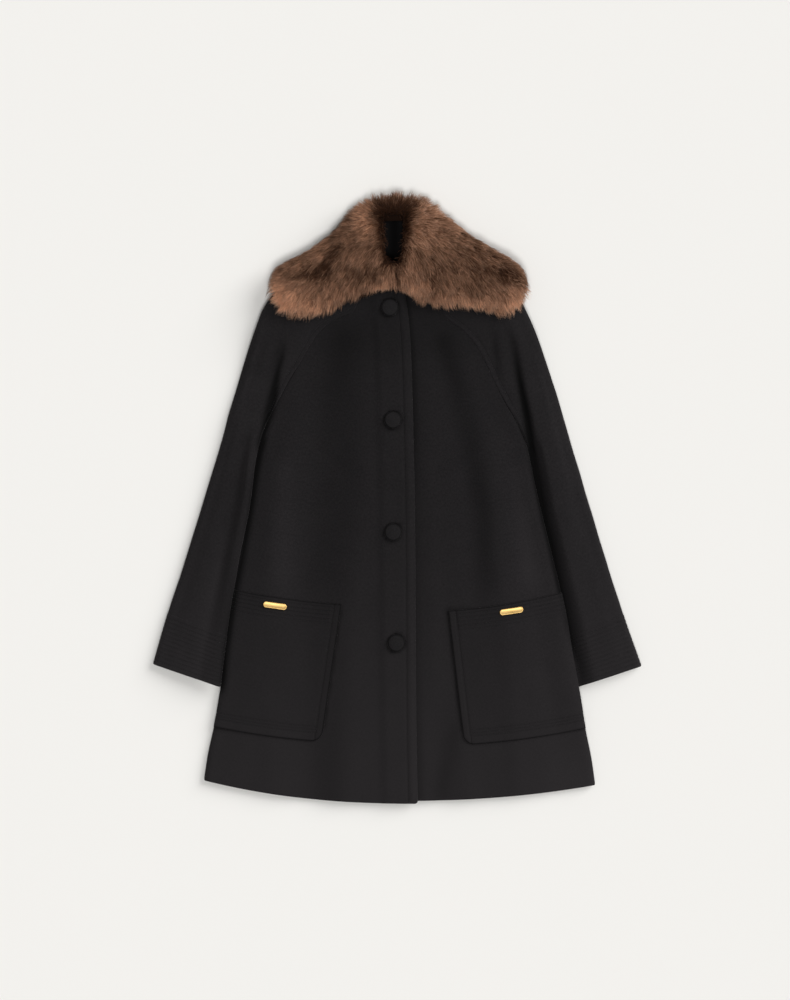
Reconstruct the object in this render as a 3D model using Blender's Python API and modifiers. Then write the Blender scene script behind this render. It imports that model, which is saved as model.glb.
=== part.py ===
"""A black wool coat with a wide fur collar, buttoned and laid flat on its back.

Tables are in millimetres, and the meshes in metres. +Z is up, and the collar points along +Y.
The wearer's right side lies at -X. Each cut piece is a wall of cloth, lofted through sections
that run across the garment: the body's from the hem to the neck, a sleeve's from the cuff to
the neck. A section is half of a flattened tube: a flat middle that eases into a round fold.
"""
import math

import bmesh
import bpy

MM = 0.001

# Cloth, seams and the gap between two layers that lie on each other
CLOTH = 2.4
SEAM_GAP = 0.3
LAYER_GAP = 0.4

# Flattened tubes: plan radius of a fold, and the heights of their layers
BODY_FOLD = 10.0
SLEEVE_FOLD = 9.0
EASE = 40.0
EASE_SHARE = 0.3
NARROW_FOLD = 0.32
LEAST_TURN = 0.02
BODY_MIDDLE = 14.0
BODY_HEM_DROP = 2.5
HEM_DROP_FROM = -330.0
HEM_DROP_OVER = 110.0
BODY_SIDE = 11.0
SLEEVE_MIDDLE = 15.0
SLEEVE_SIDE = 12.0
ARC_STEPS = 3

# The coat's neck end rests on the back of the fur collar
COLLAR_UNDER = 9.7
NECK_LIFT = 10.0
LIFT_FROM = 190.0
LIFT_TO = 268.0

# Front edges: x at the neck, and how far they have run out at a y
FRONT_EDGE = (
    (-457, 21.0), (-434, 20.5), (-386, 19.3), (-314, 18.4), (-218, 17.8), (-98, 17.3),
    (-2, 16.2), (46, 15.4), (94, 14.2), (142, 13.2), (190, 11.8), (214, 10.8), (240, 9.5),
    (264, 7.5), (288, 4.5), (312, 0.0),
)
RIGHT_EDGE_X = 10.0
LEFT_EDGE_X = -32.0
OVERLAP_RISE = 2.8
OVERLAP_MARGIN = 16.0
OVERLAP_RAMP = 14.0
OVERLAP_END = 44.0
RAMP_END = 60.0
ROW_BOW = 2.3

# Columns of the sections: steps from a side fold and parts of the rest, closer on narrow rows
FRONT_WIDTH = 146.0
FRONT_STEPS = (32.0, 20.0, 10.0, 0.0)
FRONT_PARTS = (0.0, 0.333, 0.667)
GUIDE_ROOM = 12.0
BACK_WIDTH = 200.0
BACK_STEPS = (0.0, 12.0, 26.0, 42.0)
BACK_PARTS = (0.25, 0.5, 0.75)
SLEEVE_FRONT_PARTS = (0.0, 0.3, 0.55, 0.75, 0.9, 1.0)
SLEEVE_BACK_PARTS = (0.0, 0.35, 0.6, 0.8, 1.0)

# Rows of the body below the underarm: y at the front edge and at the side fold, each front
ROW_COLUMNS = ("right_edge", "right_side", "left_edge", "left_side")
BODY_ROWS = (
    (-457, -422, -453, -429),
    (-414, -383, -413, -388),
    (-369, -342, -372, -344),
    (-354, -327, -357, -329),
    (-300, -274, -304, -275),
    (-245, -219, -250, -220),
    (-191, -165, -200, -170),
    (-161, -135, -170, -140),
    (-112, -88, -120, -92),
    (-60, -40, -66, -45),
    (-8, 8, -14, 0),
    (38, 48, 28, 34),
    (70, 82, 60, 64),
)
POCKET_BOTTOM = 2
POCKET_BAND = 6
POCKET_TOP = 7

# How much shorter the back's hem and rows are in the middle than the fronts' edges
BACK_SHORT = 3.0

# Side folds: distance from the middle and height of the layer below, at a y
SIDE_COLUMNS = ("y", "out", "raise")
RIGHT_SIDE = (
    (-422, 290, 0), (-383, 284, 0), (-342, 275, 0), (-327, 272, 0), (-274, 263, 0),
    (-219, 260, 0), (-165, 253, 0), (-135, 249, 0), (-88, 240, 0), (-40, 230, 0),
    (8, 221.5, 0), (48, 215, 0), (82, 207.5, 0), (105, 200, 0),
)
LEFT_SIDE = (
    (-429, 297, 0), (-388, 291, 1.5), (-344, 282, 4.6), (-329, 279.5, 6), (-275, 270, 8.4),
    (-220, 260, 8.4), (-170, 252, 8.4), (-140, 245.5, 8.4), (-92, 234, 8.4), (-45, 222.5, 8.4),
    (0, 211.5, 8.4), (34, 204, 8.4), (64, 198, 6), (85, 193, 0),
)

# A sleeve's sections from the cuff to the underarm: its outer fold, its inner fold, and the
# heights that the inner fold lies between
SLEEVE_COLUMNS = ("outer_x", "outer_y", "inner_x", "inner_y", "under", "over")
RIGHT_SLEEVE = (
    (366, -248, 265, -282, 14.6, 25.5),
    (344, -172, 255.1, -205, 14.6, 25.5),
    (337, -150, 252, -182, 14.6, 25.5),
    (326, -118, 247, -150, 14.6, 25.5),
    (316, -86, 241, -118, 14.6, 25.5),
    (306, -54, 235.5, -85, 14.6, 25.5),
    (296, -22, 228.5, -52, 14.6, 25.5),
    (287, 8, 222, -20, 14.6, 25.5),
    (277.5, 39, 217, 14, 14.6, 25.5),
    (268, 70, 213.2, 47, 14.6, 25),
    (260, 98, 208.4, 80, 7, 19),
)
LEFT_SLEEVE = (
    (366, -251, 266, -284, 0, 7.5),
    (339, -174, 253, -207, 0, 7.5),
    (332, -152, 248.5, -184, 0, 7.5),
    (322, -122, 241.5, -152, 0, 7.5),
    (312, -89, 234, -120, 0, 7.5),
    (302, -57, 226.5, -87, 0, 7.5),
    (293, -26, 218, -53, 0, 7.5),
    (283, 6, 210.5, -20, 0, 7.5),
    (274, 38, 206, 12, 0, 7.5),
    (264, 70, 201, 45, 0, 7.5),
    (256, 98, 197.6, 68, 0, 7.5),
)

# Raglan seams from the underarm to the neck: the outer fold beside each point, the front seam
# with its height, the back seam with its height, and y at the front edge and the back's middle
RAGLAN_COLUMNS = (
    "outer_x", "outer_y", "front_x", "front_y", "front_z", "back_x", "back_y", "back_z",
    "edge_y", "middle_y",
)
RIGHT_RAGLAN = (
    (254, 122, 200, 105, 5.5, 200, 105, 5.5, 95, 95),
    (243, 158, 180, 144, 9.5, 182, 150, 1.2, 138, 145),
    (233, 192, 163, 175, 13, 166, 190, 0, 173, 190),
    (223, 224, 146, 203, 14, 150, 226, 0, 203, 228),
    (212, 256, 130, 231, 14, 133, 260, 0, 231, 263),
    (201, 284, 114, 253, 14, 116, 292, 0, 253, 296),
    (184, 309, 93, 268, 14, 98, 323, 0, 270, 328),
    (155, 337, 68, 278, 14, 80, 352, 0, 282, 357),
    (112, 371, 62, 288, 14, 64, 380, 0, 297, 386),
    (58, 412, 56, 299, 14, 48, 408, 0, 312, 416),
)
LEFT_RAGLAN = (
    (249, 122, 193, 85, 5.5, 193, 85, 5.5, 82, 95),
    (241, 150, 178, 117, 11.5, 180, 132, 1.2, 114, 145),
    (231, 181, 162, 144, 13.6, 165, 175, 0, 143, 190),
    (220, 214, 146, 175, 14, 149, 214, 0, 175, 228),
    (209, 245, 131, 207, 14, 132, 252, 0, 207, 263),
    (197, 273, 116, 233, 14, 115, 287, 0, 233, 296),
    (182, 302, 98, 252, 14, 97, 320, 0, 254, 328),
    (154, 335, 75, 269, 14, 79, 350, 0, 274, 357),
    (112, 371, 65, 283, 14, 64, 380, 0, 294, 386),
    (58, 412, 57, 298, 14, 48, 408, 0, 312, 416),
)

# The largest creases: a half width, and a path of points (x, y, depth)
CREASE_FADE = 15.0
CREASES = (
    (9.0, ((-187, 160, 2.0), (-182, 190, 4.0), (-176, 215, 2.6), (-168, 238, 0.8))),
    (8.0, ((196, 100, 4.0), (195, 112, 6.5), (190, 152, 6.0), (183, 193, 4.0), (174, 238, 1.0))),
    (22.0, ((-68, 240, 0.8), (-75, 160, 2.2), (-72, 75, 2.0), (-84, -30, 0.5))),
    (22.0, ((82, 225, 0.8), (105, 120, 2.0), (117, -50, 1.6), (128, -150, 0.4))),
)

# Channel-stitched bands: how many ridges they have, and how high these stand
CUFF_RIDGES = 12
POCKET_RIDGES = 5
RIDGE = 0.9

# Pockets: x of the inner edge at the row's y, and the corner's size
POCKET_EDGE_Y = -158.0
RIGHT_POCKET_X = -83.0
LEFT_POCKET_X = 74.6
POCKET_FLARE = 0.145
LEFT_POCKET_FLARE = 0.118
POCKET_COLUMN = 15.0
POCKET_FIRST = 3
POCKET_WRAP = 1
CORNER_CUT = 0.29

# Buttons down the right front, covered in the cloth
BUTTON_RADIUS = 13.0
BUTTON_HEIGHT = 5.5
BUTTON_PLACES = ((-11.0, 286.0), (-6.4, 118.0), (-6.0, -50.0), (-1.2, -216.0))
BUTTON_PROFILE = ((0.0, 1.0), (0.45, 0.96), (0.8, 0.8), (0.97, 0.48), (0.97, 0.2), (0.85, 0.0))
BUTTON_STEPS = 20

# Plain bars on the pockets' bands
BAR_LENGTH = 36.0
BAR_WIDTH = 9.5
BAR_HEIGHT = 3.0
BAR_ROUND = 0.48
BAR_BEVEL = 0.6
BAR_PLACES = {"bar_right": (-183.0, -160.0, -0.14), "bar_left": (171.0, -168.0, 0.15)}

# The collar's outline in plan, from the centre front round by the wearer's right
COLLAR_OUTLINE = (
    (-2, 312), (-19, 310), (-41, 310), (-58, 302), (-80, 292), (-102, 281), (-124, 273),
    (-147, 270), (-168, 275), (-183, 290), (-191, 310), (-192, 328), (-182, 346), (-160, 358),
    (-131, 373), (-101, 396), (-80, 420), (-63, 440), (-35, 453), (0, 456), (30, 454),
    (52, 444), (68, 428), (87, 413), (108, 396), (139, 377), (168, 360), (187, 346),
    (195, 328), (195, 309), (189, 291), (177, 280), (161, 275), (139, 279), (110, 285),
    (80, 288), (50, 289), (27, 295), (12, 307),
)
COLLAR_CENTRE = (-3.0, 372.0)
COLLAR_SIDES = 64
COLLAR_TOP_RINGS = (0.975, 0.92, 0.83, 0.7, 0.5, 0.25)
COLLAR_BOTTOM_RINGS = (0.985, 0.94, 0.8, 0.45)
COLLAR_CREST = 47.0
COLLAR_BACK_CREST = 35.0
COLLAR_FRONT_EDGE = 31.0
COLLAR_SHOULDER_EDGE = 17.0
COLLAR_FRONT_BLEND = 1.4
COLLAR_BACK_FROM = 0.35
COLLAR_BACK_OVER = 0.6
COLLAR_TOP_POWER = 4
COLLAR_UNDER_POWER = 10

# The space that the coat fills inside the collar, and the neck opening above it
CAVITY_TOP = 27.8
CAVITY_MARGIN = 2.2
CAVITY_NECK = (62.0, 421.0)
CAVITY_SIDE = ((300.0, 90.0), (256.0, 122.0))
NECK_SLOT = (
    (-20.0, 424.0), (-19.5, 400.0), (-18.5, 372.0), (-15.5, 359.0), (-3.2, 353.0),
    (-3.2, 290.0), (-1.2, 290.0), (-1.2, 353.0), (5.0, 359.0), (7.0, 376.0), (8.5, 400.0),
    (8.5, 424.0),
)

# Colours from the cloth, the fur and the gilt trim
WOOL = (0.014, 0.0125, 0.0135, 1.0)
FUR = (0.13, 0.07, 0.042, 1.0)
GILT = (0.72, 0.5, 0.2, 1.0)


def mix(a, b, t):
    """The value a share t of the way from a to b."""
    return a + (b - a) * t


def smooth(t):
    """A soft step from 0 to 1."""
    t = max(0.0, min(1.0, t))
    return t * t * (3.0 - 2.0 * t)


def named(columns, row):
    """One table row as a dictionary by column name."""
    return dict(zip(columns, row))


def along(points, x):
    """Reads a rising table of (x, y, z, ...) points at x, and returns the rest of the row."""
    for low, high in zip(points, points[1:]):
        if x <= high[0]:
            t = max(0.0, (x - low[0]) / (high[0] - low[0]))
            return [mix(a, b, t) for a, b in zip(low[1:], high[1:])]
    return list(points[-1][1:])


def neck_lift(y):
    """How far the collar's back raises the coat off the surface."""
    return NECK_LIFT * smooth((y - LIFT_FROM) / (LIFT_TO - LIFT_FROM))


def crease_depth(x, y):
    """How deep the creases are at a point of the upper layers."""
    depth = 0.0
    for half_width, path in CREASES:
        nearest = None
        for (x0, y0, d0), (x1, y1, d1) in zip(path, path[1:]):
            dx, dy = x1 - x0, y1 - y0
            t = ((x - x0) * dx + (y - y0) * dy) / (dx * dx + dy * dy)
            t = max(0.0, min(1.0, t))
            gap = math.hypot(x - x0 - t * dx, y - y0 - t * dy)
            if nearest is None or gap < nearest[0]:
                nearest = (gap, mix(d0, d1, t))
        depth += nearest[1] * math.exp(-((nearest[0] / half_width) ** 2))
    return depth


def edge_x(y, at_neck):
    """x of a front edge at a y."""
    return at_neck + along(FRONT_EDGE, y)[0]


class End:
    """One end of a section: a fold that turns from the crest towards the level, or a cut."""

    def __init__(self, crest, level=None, turn=0.0, radius=0.0):
        self.crest = crest
        self.level = crest if level is None else level
        self.turn = turn
        self.radius = radius
        self.reach = radius * math.sin(turn)


class Section:
    """A row across a piece: flat in the middle, with an end on each side.

    place(s) gives x and y at a distance s from the first end. face is 1 on the upper layer
    and -1 on the lower one. middle(s, x, y) is the height of the flat part.
    """

    def __init__(self, place, length, ends, face, middle, columns):
        self.place = place
        self.length = length
        self.first, self.last = ends
        self.face = face
        self.middle = middle
        self.columns = columns

    def flat_height(self, s):
        start = self.first.reach
        stop = self.length - self.last.reach
        ease = min(EASE, EASE_SHARE * (stop - start))
        x, y = self.place(s)
        height = self.middle(s, x, y)
        near_first = 1.0 - smooth((s - start) / ease)
        near_last = 1.0 - smooth((stop - s) / ease)
        base = height
        if self.first.radius:
            base += (self.first.crest - height) * near_first
        if self.last.radius:
            base += (self.last.crest - height) * near_last
        return base

    def points(self, offset):
        """The row's points, moved out of the cloth by the offset."""
        row = []
        first, last = self.first, self.last
        if first.radius:
            for step in range(ARC_STEPS, 0, -1):
                row.append(self.arc_point(first, first.turn * step / ARC_STEPS, offset, True))
        for s in self.columns(self.first.reach, self.length - self.last.reach):
            x, y = self.place(s)
            row.append((x, y, self.flat_height(s) + self.face * offset + neck_lift(y)))
        if last.radius:
            for step in range(1, ARC_STEPS + 1):
                row.append(self.arc_point(last, last.turn * step / ARC_STEPS, offset, False))
        return row

    def arc_point(self, end, angle, offset, at_first):
        """A point of an end's fold, at an angle from its crest."""
        out = end.reach - (end.radius + offset) * math.sin(angle)
        s = out if at_first else self.length - out
        rise = abs(end.crest - end.level) + offset
        x, y = self.place(s)
        z = end.level + self.face * rise * math.cos(angle)
        return (x, y, z + neck_lift(y))


def turn_to(crest, level, seam):
    """The angle at which a fold from the crest to the level has come to a seam's height."""
    share = (seam - level) / (crest - level)
    return math.acos(max(-1.0, min(1.0, share)))


def moved_in(points, gap):
    """Moves each point of a line to the line's left by the gap, square to the line."""
    moved = []
    for index, (x, y) in enumerate(points):
        x0, y0 = points[max(0, index - 1)]
        x1, y1 = points[min(len(points) - 1, index + 1)]
        length = math.hypot(x1 - x0, y1 - y0)
        moved.append((x - gap * (y1 - y0) / length, y + gap * (x1 - x0) / length))
    return moved


def wall(name, outer, inner, material):
    """A closed wall between an outer and an inner grid of points, as an object."""
    rows, columns = len(outer), len(outer[0])
    mesh = bpy.data.meshes.new(name)
    body = bmesh.new()
    sheets = []
    for grid in (outer, inner):
        sheets.append([[body.verts.new([c * MM for c in point]) for point in row] for row in grid])
    upper, lower = sheets

    def quad(a, b, c, d):
        body.faces.new((a, b, c))
        body.faces.new((a, c, d))

    for i in range(rows - 1):
        for j in range(columns - 1):
            quad(upper[i][j], upper[i][j + 1], upper[i + 1][j + 1], upper[i + 1][j])
            a, b, c, d = lower[i][j], lower[i][j + 1], lower[i + 1][j + 1], lower[i + 1][j]
            body.faces.new((a, c, b))
            body.faces.new((a, d, c))
        for j, flip in ((0, False), (columns - 1, True)):
            a, b, c, d = upper[i][j], upper[i + 1][j], lower[i + 1][j], lower[i][j]
            quad(*((d, c, b, a) if flip else (a, b, c, d)))
    for j in range(columns - 1):
        for i, flip in ((0, False), (rows - 1, True)):
            a, b, c, d = upper[i][j], lower[i][j], lower[i][j + 1], upper[i][j + 1]
            quad(*((d, c, b, a) if flip else (a, b, c, d)))
    if body.calc_volume(signed=True) < 0:
        bmesh.ops.reverse_faces(body, faces=body.faces)
    body.to_mesh(mesh)
    body.free()
    mesh.shade_smooth()
    mesh.set_sharp_from_angle(angle=math.radians(50))
    return add_object(name, mesh, material)


def add_object(name, mesh, material):
    """Puts a mesh in the coat's collection under a name, with its material."""
    mesh.materials.append(material)
    piece = bpy.data.objects.new(name, mesh)
    COAT.objects.link(piece)
    return piece


def make_material(name, colour, roughness, metallic=0.0):
    """A plain finish."""
    material = bpy.data.materials.new(name)
    material.use_nodes = True
    shader = material.node_tree.nodes["Principled BSDF"]
    shader.inputs["Base Color"].default_value = colour
    shader.inputs["Roughness"].default_value = roughness
    shader.inputs["Metallic"].default_value = metallic
    return material


class Side:
    """The tables of one side of the coat, with its sign in x."""

    def __init__(self, name, sign, side, sleeve, raglan, edge, pocket_x, flare):
        self.name = name
        self.sign = sign
        self.side = side
        self.sleeve = [named(SLEEVE_COLUMNS, row) for row in sleeve]
        self.raglan = [named(RAGLAN_COLUMNS, row) for row in raglan]
        self.edge = edge
        self.pocket_x = pocket_x
        self.flare = flare
        self.rows = []
        for row in BODY_ROWS:
            entry = named(ROW_COLUMNS, row)
            y = entry[name + "_side"]
            fold = named(SIDE_COLUMNS[1:], along(side, y))
            self.rows.append((entry[name + "_edge"], sign * fold["out"], y, fold["raise"]))


RIGHT = Side("right", -1, RIGHT_SIDE, RIGHT_SLEEVE, RIGHT_RAGLAN, RIGHT_EDGE_X,
             RIGHT_POCKET_X, POCKET_FLARE)
LEFT = Side("left", 1, LEFT_SIDE, LEFT_SLEEVE, LEFT_RAGLAN, LEFT_EDGE_X,
            LEFT_POCKET_X, LEFT_POCKET_FLARE)


def body_height(x, y):
    """Height of the upper layer over the body, away from its folds."""
    low = BODY_HEM_DROP * smooth((HEM_DROP_FROM - y) / HEM_DROP_OVER)
    return BODY_MIDDLE - low - crease_depth(x, y)


def front_sections(side):
    """The sections of one front, from the hem to the neck, each from the edge to the side."""
    ends = [(x, y) for _, x, y, _ in side.rows]
    ends += [(side.sign * row["front_x"], row["front_y"]) for row in side.raglan]
    ends = moved_in(ends, side.sign * SEAM_GAP / 2)
    sections = []
    for index, (end_x, end_y) in enumerate(ends):
        if index < len(side.rows):
            edge_y, _, _, lifted = side.rows[index]
            level = lifted + BODY_SIDE / 2 + SEAM_GAP / 2
            crest = lifted + BODY_SIDE
            turn = math.pi / 2
        else:
            row = side.raglan[index - len(side.rows)]
            edge_y = row["edge_y"]
            level = BODY_SIDE / 2 + SEAM_GAP / 2
            rise = smooth((row["front_z"] - BODY_SIDE / 2) / (BODY_MIDDLE - BODY_SIDE / 2))
            crest = mix(BODY_SIDE, BODY_MIDDLE, rise)
            turn = turn_to(crest, level, row["front_z"] + SEAM_GAP / 2)
        start_x = edge_x(edge_y, side.edge)
        length = abs(end_x - start_x)

        def place(s, start_x=start_x, length=length, y0=edge_y, y1=end_y):
            bow = max(0.0, s / length) ** ROW_BOW
            return start_x + side.sign * s, mix(y0, y1, bow)

        def columns(start, stop, start_x=start_x, y=edge_y):
            scale = min(1.0, (stop - OVERLAP_END) / FRONT_WIDTH)
            ramp = mix(OVERLAP_END, RAMP_END, scale)
            near_side = stop - FRONT_STEPS[0] * scale
            edge = side.pocket_x + side.sign * side.flare * (POCKET_EDGE_Y - y)
            guide = max(side.sign * (edge - start_x), ramp + GUIDE_ROOM * scale)
            guide = min(guide, near_side - (POCKET_COLUMN + GUIDE_ROOM) * scale)
            inside = guide + POCKET_COLUMN * scale
            row = [0.0, OVERLAP_END, ramp, guide]
            row += [mix(inside, near_side, part) for part in FRONT_PARTS]
            return row + [stop - step * scale for step in FRONT_STEPS]

        def middle(s, x, y, edge_y=edge_y):
            height = body_height(x, y)
            if side is RIGHT:
                hidden_edge = edge_x(y, LEFT_EDGE_X)
                height += OVERLAP_RISE * smooth((x - hidden_edge + OVERLAP_MARGIN) / OVERLAP_RAMP)
            return height

        sections.append(Section(place, length, (End(0.0), End(crest, level, turn, BODY_FOLD)),
                                1, middle, columns))
    return sections


def back_sections():
    """The sections of the back, from the hem to the neck, each from side to side."""
    rows = []
    for right, left in zip(RIGHT.rows, LEFT.rows):
        rows.append(((right[0] + left[0]) / 2 + BACK_SHORT, right[1:3], left[1:3], right[3],
                     left[3], None, None))
    for right, left in zip(RIGHT.raglan, LEFT.raglan):
        rows.append((right["middle_y"], (-right["back_x"], right["back_y"]),
                     (left["back_x"], left["back_y"]), 0.0, 0.0, right["back_z"],
                     left["back_z"]))
    right_line = moved_in([row[1] for row in rows], -SEAM_GAP / 2)
    left_line = moved_in([row[2] for row in rows], SEAM_GAP / 2)
    sections = []
    for row, start, stop in zip(rows, right_line, left_line):
        middle_y = row[0]
        ends = []
        for lifted, seam in ((row[3], row[5]), (row[4], row[6])):
            level = lifted + BODY_SIDE / 2 - SEAM_GAP / 2
            turn = math.pi / 2
            if seam is not None:
                turn = turn_to(0.0, level, max(0.0, seam - SEAM_GAP / 2))
            ends.append(End(lifted, level, max(turn, LEAST_TURN), BODY_FOLD))
        length = stop[0] - start[0]

        def place(s, start=start, stop=stop, middle_y=middle_y, length=length):
            across = 2.0 * s / length - 1.0
            side_y = start[1] if across < 0 else stop[1]
            return start[0] + s, mix(middle_y, side_y, abs(across) ** ROW_BOW)

        def columns(start, stop):
            scale = min(1.0, (stop - start) / BACK_WIDTH)
            near = [start + step * scale for step in BACK_STEPS]
            far = [stop - step * scale for step in reversed(BACK_STEPS)]
            return near + [mix(near[-1], far[0], part) for part in BACK_PARTS] + far

        sections.append(Section(place, length, ends, -1, lambda s, x, y: 0.0, columns))
    return sections


def sleeve_sections(side, face):
    """The sections of a sleeve's front (face 1) or back (face -1) half, from its outer fold."""
    inner, outer, ends = [], [], []
    front = face > 0
    for row in side.sleeve:
        inner.append((side.sign * row["inner_x"], row["inner_y"]))
        outer.append((side.sign * row["outer_x"], row["outer_y"]))
        level = (row["under"] + row["over"]) / 2 + face * SEAM_GAP / 2
        crest = row["over"] if front else row["under"]
        ends.append(End(crest, level, math.pi / 2, BODY_FOLD))
    for index, row in enumerate(side.raglan):
        key = "front" if front else "back"
        inner.append((side.sign * row[key + "_x"], row[key + "_y"]))
        outer.append((side.sign * row["outer_x"], row["outer_y"]))
        level = BODY_SIDE / 2 + face * SEAM_GAP / 2
        crest = BODY_MIDDLE if front else 0.0
        seam = row[key + "_z"]
        shifted = seam + SEAM_GAP / 2 if front else max(0.0, seam - SEAM_GAP / 2)
        turn = max(turn_to(crest, level, shifted), LEAST_TURN)
        ends.append(End(crest, level, turn, BODY_FOLD))
    inner = moved_in(inner, -side.sign * SEAM_GAP / 2)
    sections = []
    for start, stop, end in zip(outer, inner, ends):
        length = math.hypot(stop[0] - start[0], stop[1] - start[1])
        narrow = NARROW_FOLD * length
        end = End(end.crest, end.level, end.turn, min(BODY_FOLD, narrow))
        crest = SLEEVE_SIDE if front else 0.0
        level = SLEEVE_SIDE / 2 + face * SEAM_GAP / 2
        first = End(crest, level, math.pi / 2, min(SLEEVE_FOLD, narrow))

        def place(s, start=start, stop=stop, length=length):
            return mix(start[0], stop[0], s / length), mix(start[1], stop[1], s / length)

        def columns(start, stop):
            parts = SLEEVE_FRONT_PARTS if front else SLEEVE_BACK_PARTS
            return [mix(start, stop, part) for part in parts]

        def middle(s, x, y, length=length, reach=end.reach):
            if not front:
                return 0.0
            fade = smooth((length - reach - s) / CREASE_FADE)
            return SLEEVE_MIDDLE - crease_depth(x, y) * fade

        sections.append(Section(place, length, (first, end), face, middle, columns))
    return sections


def between(first, second, t):
    """A row of points a share t of the way between two rows."""
    return [tuple(mix(a, b, t) for a, b in zip(p, q)) for p, q in zip(first, second)]


def ridged(first, second, ridges, base):
    """Rows between two sections, moved out by the base and raised on each ridge."""
    rows = []
    steps = 2 * ridges
    for step in range(steps):
        offset = base + (RIDGE if step % 2 else 0.0)
        rows.append(between(first.points(offset), second.points(offset), step / steps))
    return rows


def make_body():
    """The back and the two fronts."""
    sections = back_sections()
    wall("back", [s.points(0.0) for s in sections], [s.points(-CLOTH) for s in sections],
         make_material("back_wool", WOOL, 0.95))
    for side in (RIGHT, LEFT):
        sections = front_sections(side)
        wall("front_" + side.name, [s.points(0.0) for s in sections],
             [s.points(-CLOTH) for s in sections],
             make_material("front_%s_wool" % side.name, WOOL, 0.95))


def make_sleeves():
    """Both raglan sleeves, each in a front and a back half, with ridged cuff bands in front."""
    for side in (RIGHT, LEFT):
        for face, half in ((1, "front"), (-1, "back")):
            sections = sleeve_sections(side, face)
            outer = [s.points(0.0) for s in sections]
            inner = [s.points(-CLOTH) for s in sections]
            if face > 0:
                steps = 2 * CUFF_RIDGES
                outer = ridged(sections[0], sections[1], CUFF_RIDGES, 0.0) + outer[1:]
                plain = [between(inner[0], inner[1], step / steps) for step in range(steps)]
                inner = plain + inner[1:]
            name = "sleeve_%s_%s" % (side.name, half)
            wall(name, outer, inner, make_material(name + "_wool", WOOL, 0.95))


def make_pockets():
    """A patch pocket on each front, over the same rows and columns, from its inner edge."""
    for side in (RIGHT, LEFT):
        sections = front_sections(side)
        low = LAYER_GAP
        high = LAYER_GAP + CLOTH
        below = sections[POCKET_BOTTOM:POCKET_BAND]
        band, top = sections[POCKET_BAND], sections[POCKET_TOP]
        steps = 2 * POCKET_RIDGES
        outer = [s.points(high) for s in below]
        outer += ridged(band, top, POCKET_RIDGES, high) + [top.points(high)]
        inner = [s.points(low) for s in below]
        inner += [between(band.points(low), top.points(low), step / steps)
                  for step in range(steps + 1)]
        for grid in (outer, inner):
            for index, row in enumerate(grid):
                grid[index] = row[POCKET_FIRST:len(row) - POCKET_WRAP]
            corner = grid[0][0]
            pull = [CORNER_CUT * (grid[0][1][axis] + grid[1][0][axis] - 2 * corner[axis])
                    for axis in range(3)]
            grid[0][0] = tuple(c + p for c, p in zip(corner, pull))
        name = "pocket_" + side.name
        wall(name, outer, inner, make_material(name + "_wool", WOOL, 0.95))


def make_buttons():
    """Round covered buttons that lie on the overlap."""
    for number, (x, y) in enumerate(BUTTON_PLACES, 1):
        mesh = bpy.data.meshes.new("button_%d" % number)
        points = [(r * BUTTON_RADIUS * MM, 0.0, z * BUTTON_HEIGHT * MM) for r, z in BUTTON_PROFILE]
        points.append((0.0, 0.0, 0.0))
        mesh.from_pydata(points, [(i, i + 1) for i in range(len(points) - 1)], [])
        piece = add_object("button_%d" % number, mesh,
                           make_material("button_%d_wool" % number, WOOL, 0.9))
        top = body_height(x, y) + OVERLAP_RISE + neck_lift(y) + LAYER_GAP
        piece.location = (x * MM, y * MM, top * MM)
        screw = piece.modifiers.new("turn", "SCREW")
        screw.steps = BUTTON_STEPS
        screw.render_steps = BUTTON_STEPS
        screw.use_merge_vertices = True
        screw.merge_threshold = 0.00001
        screw.use_smooth_shade = True


def make_bars():
    """A plain pill-shaped bar on each pocket's band."""
    for name, (x, y, turn) in BAR_PLACES.items():
        mesh = bpy.data.meshes.new(name)
        body = bmesh.new()
        bmesh.ops.create_cube(body, size=1.0)
        size = (BAR_LENGTH * MM, BAR_WIDTH * MM, BAR_HEIGHT * MM)
        bmesh.ops.scale(body, vec=size, verts=body.verts)
        upright = [edge for edge in body.edges
                   if abs(edge.verts[0].co.z - edge.verts[1].co.z) > 0.5 * size[2]]
        bmesh.ops.bevel(body, geom=upright, offset=BAR_ROUND * size[1], segments=4,
                        profile=0.5, affect="EDGES")
        body.to_mesh(mesh)
        body.free()
        piece = add_object(name, mesh, make_material(name + "_gilt", GILT, 0.25, 1.0))
        rest = body_height(x, y) + 2 * LAYER_GAP + CLOTH + RIDGE
        piece.location = (x * MM, y * MM, (rest + BAR_HEIGHT / 2) * MM)
        piece.rotation_euler = (0.0, 0.0, turn)
        bevel = piece.modifiers.new("soft edges", "BEVEL")
        bevel.width = BAR_BEVEL * MM
        bevel.segments = 1
        bevel.limit_method = "ANGLE"
        bevel.angle_limit = math.radians(60)


def collar_outline():
    """The collar's outline as evenly turned points on a smooth closed curve."""
    points = COLLAR_OUTLINE
    count = len(points)
    dense = []
    for index in range(count):
        p0, p1, p2, p3 = (points[(index + k) % count] for k in (-1, 0, 1, 2))
        for step in range(8):
            t = step / 8.0
            dense.append(tuple(
                0.5 * (2 * b + (c - a) * t + (2 * a - 5 * b + 4 * c - d) * t * t
                       + (3 * b - a - 3 * c + d) * t ** 3)
                for a, b, c, d in zip(p0, p1, p2, p3)))
    lengths = [0.0]
    for a, b in zip(dense, dense[1:] + dense[:1]):
        lengths.append(lengths[-1] + math.hypot(b[0] - a[0], b[1] - a[1]))
    table = [(s, x, y) for s, (x, y) in zip(lengths, dense + dense[:1])]
    return [along(table, lengths[-1] * k / COLLAR_SIDES) for k in range(COLLAR_SIDES)]


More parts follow.
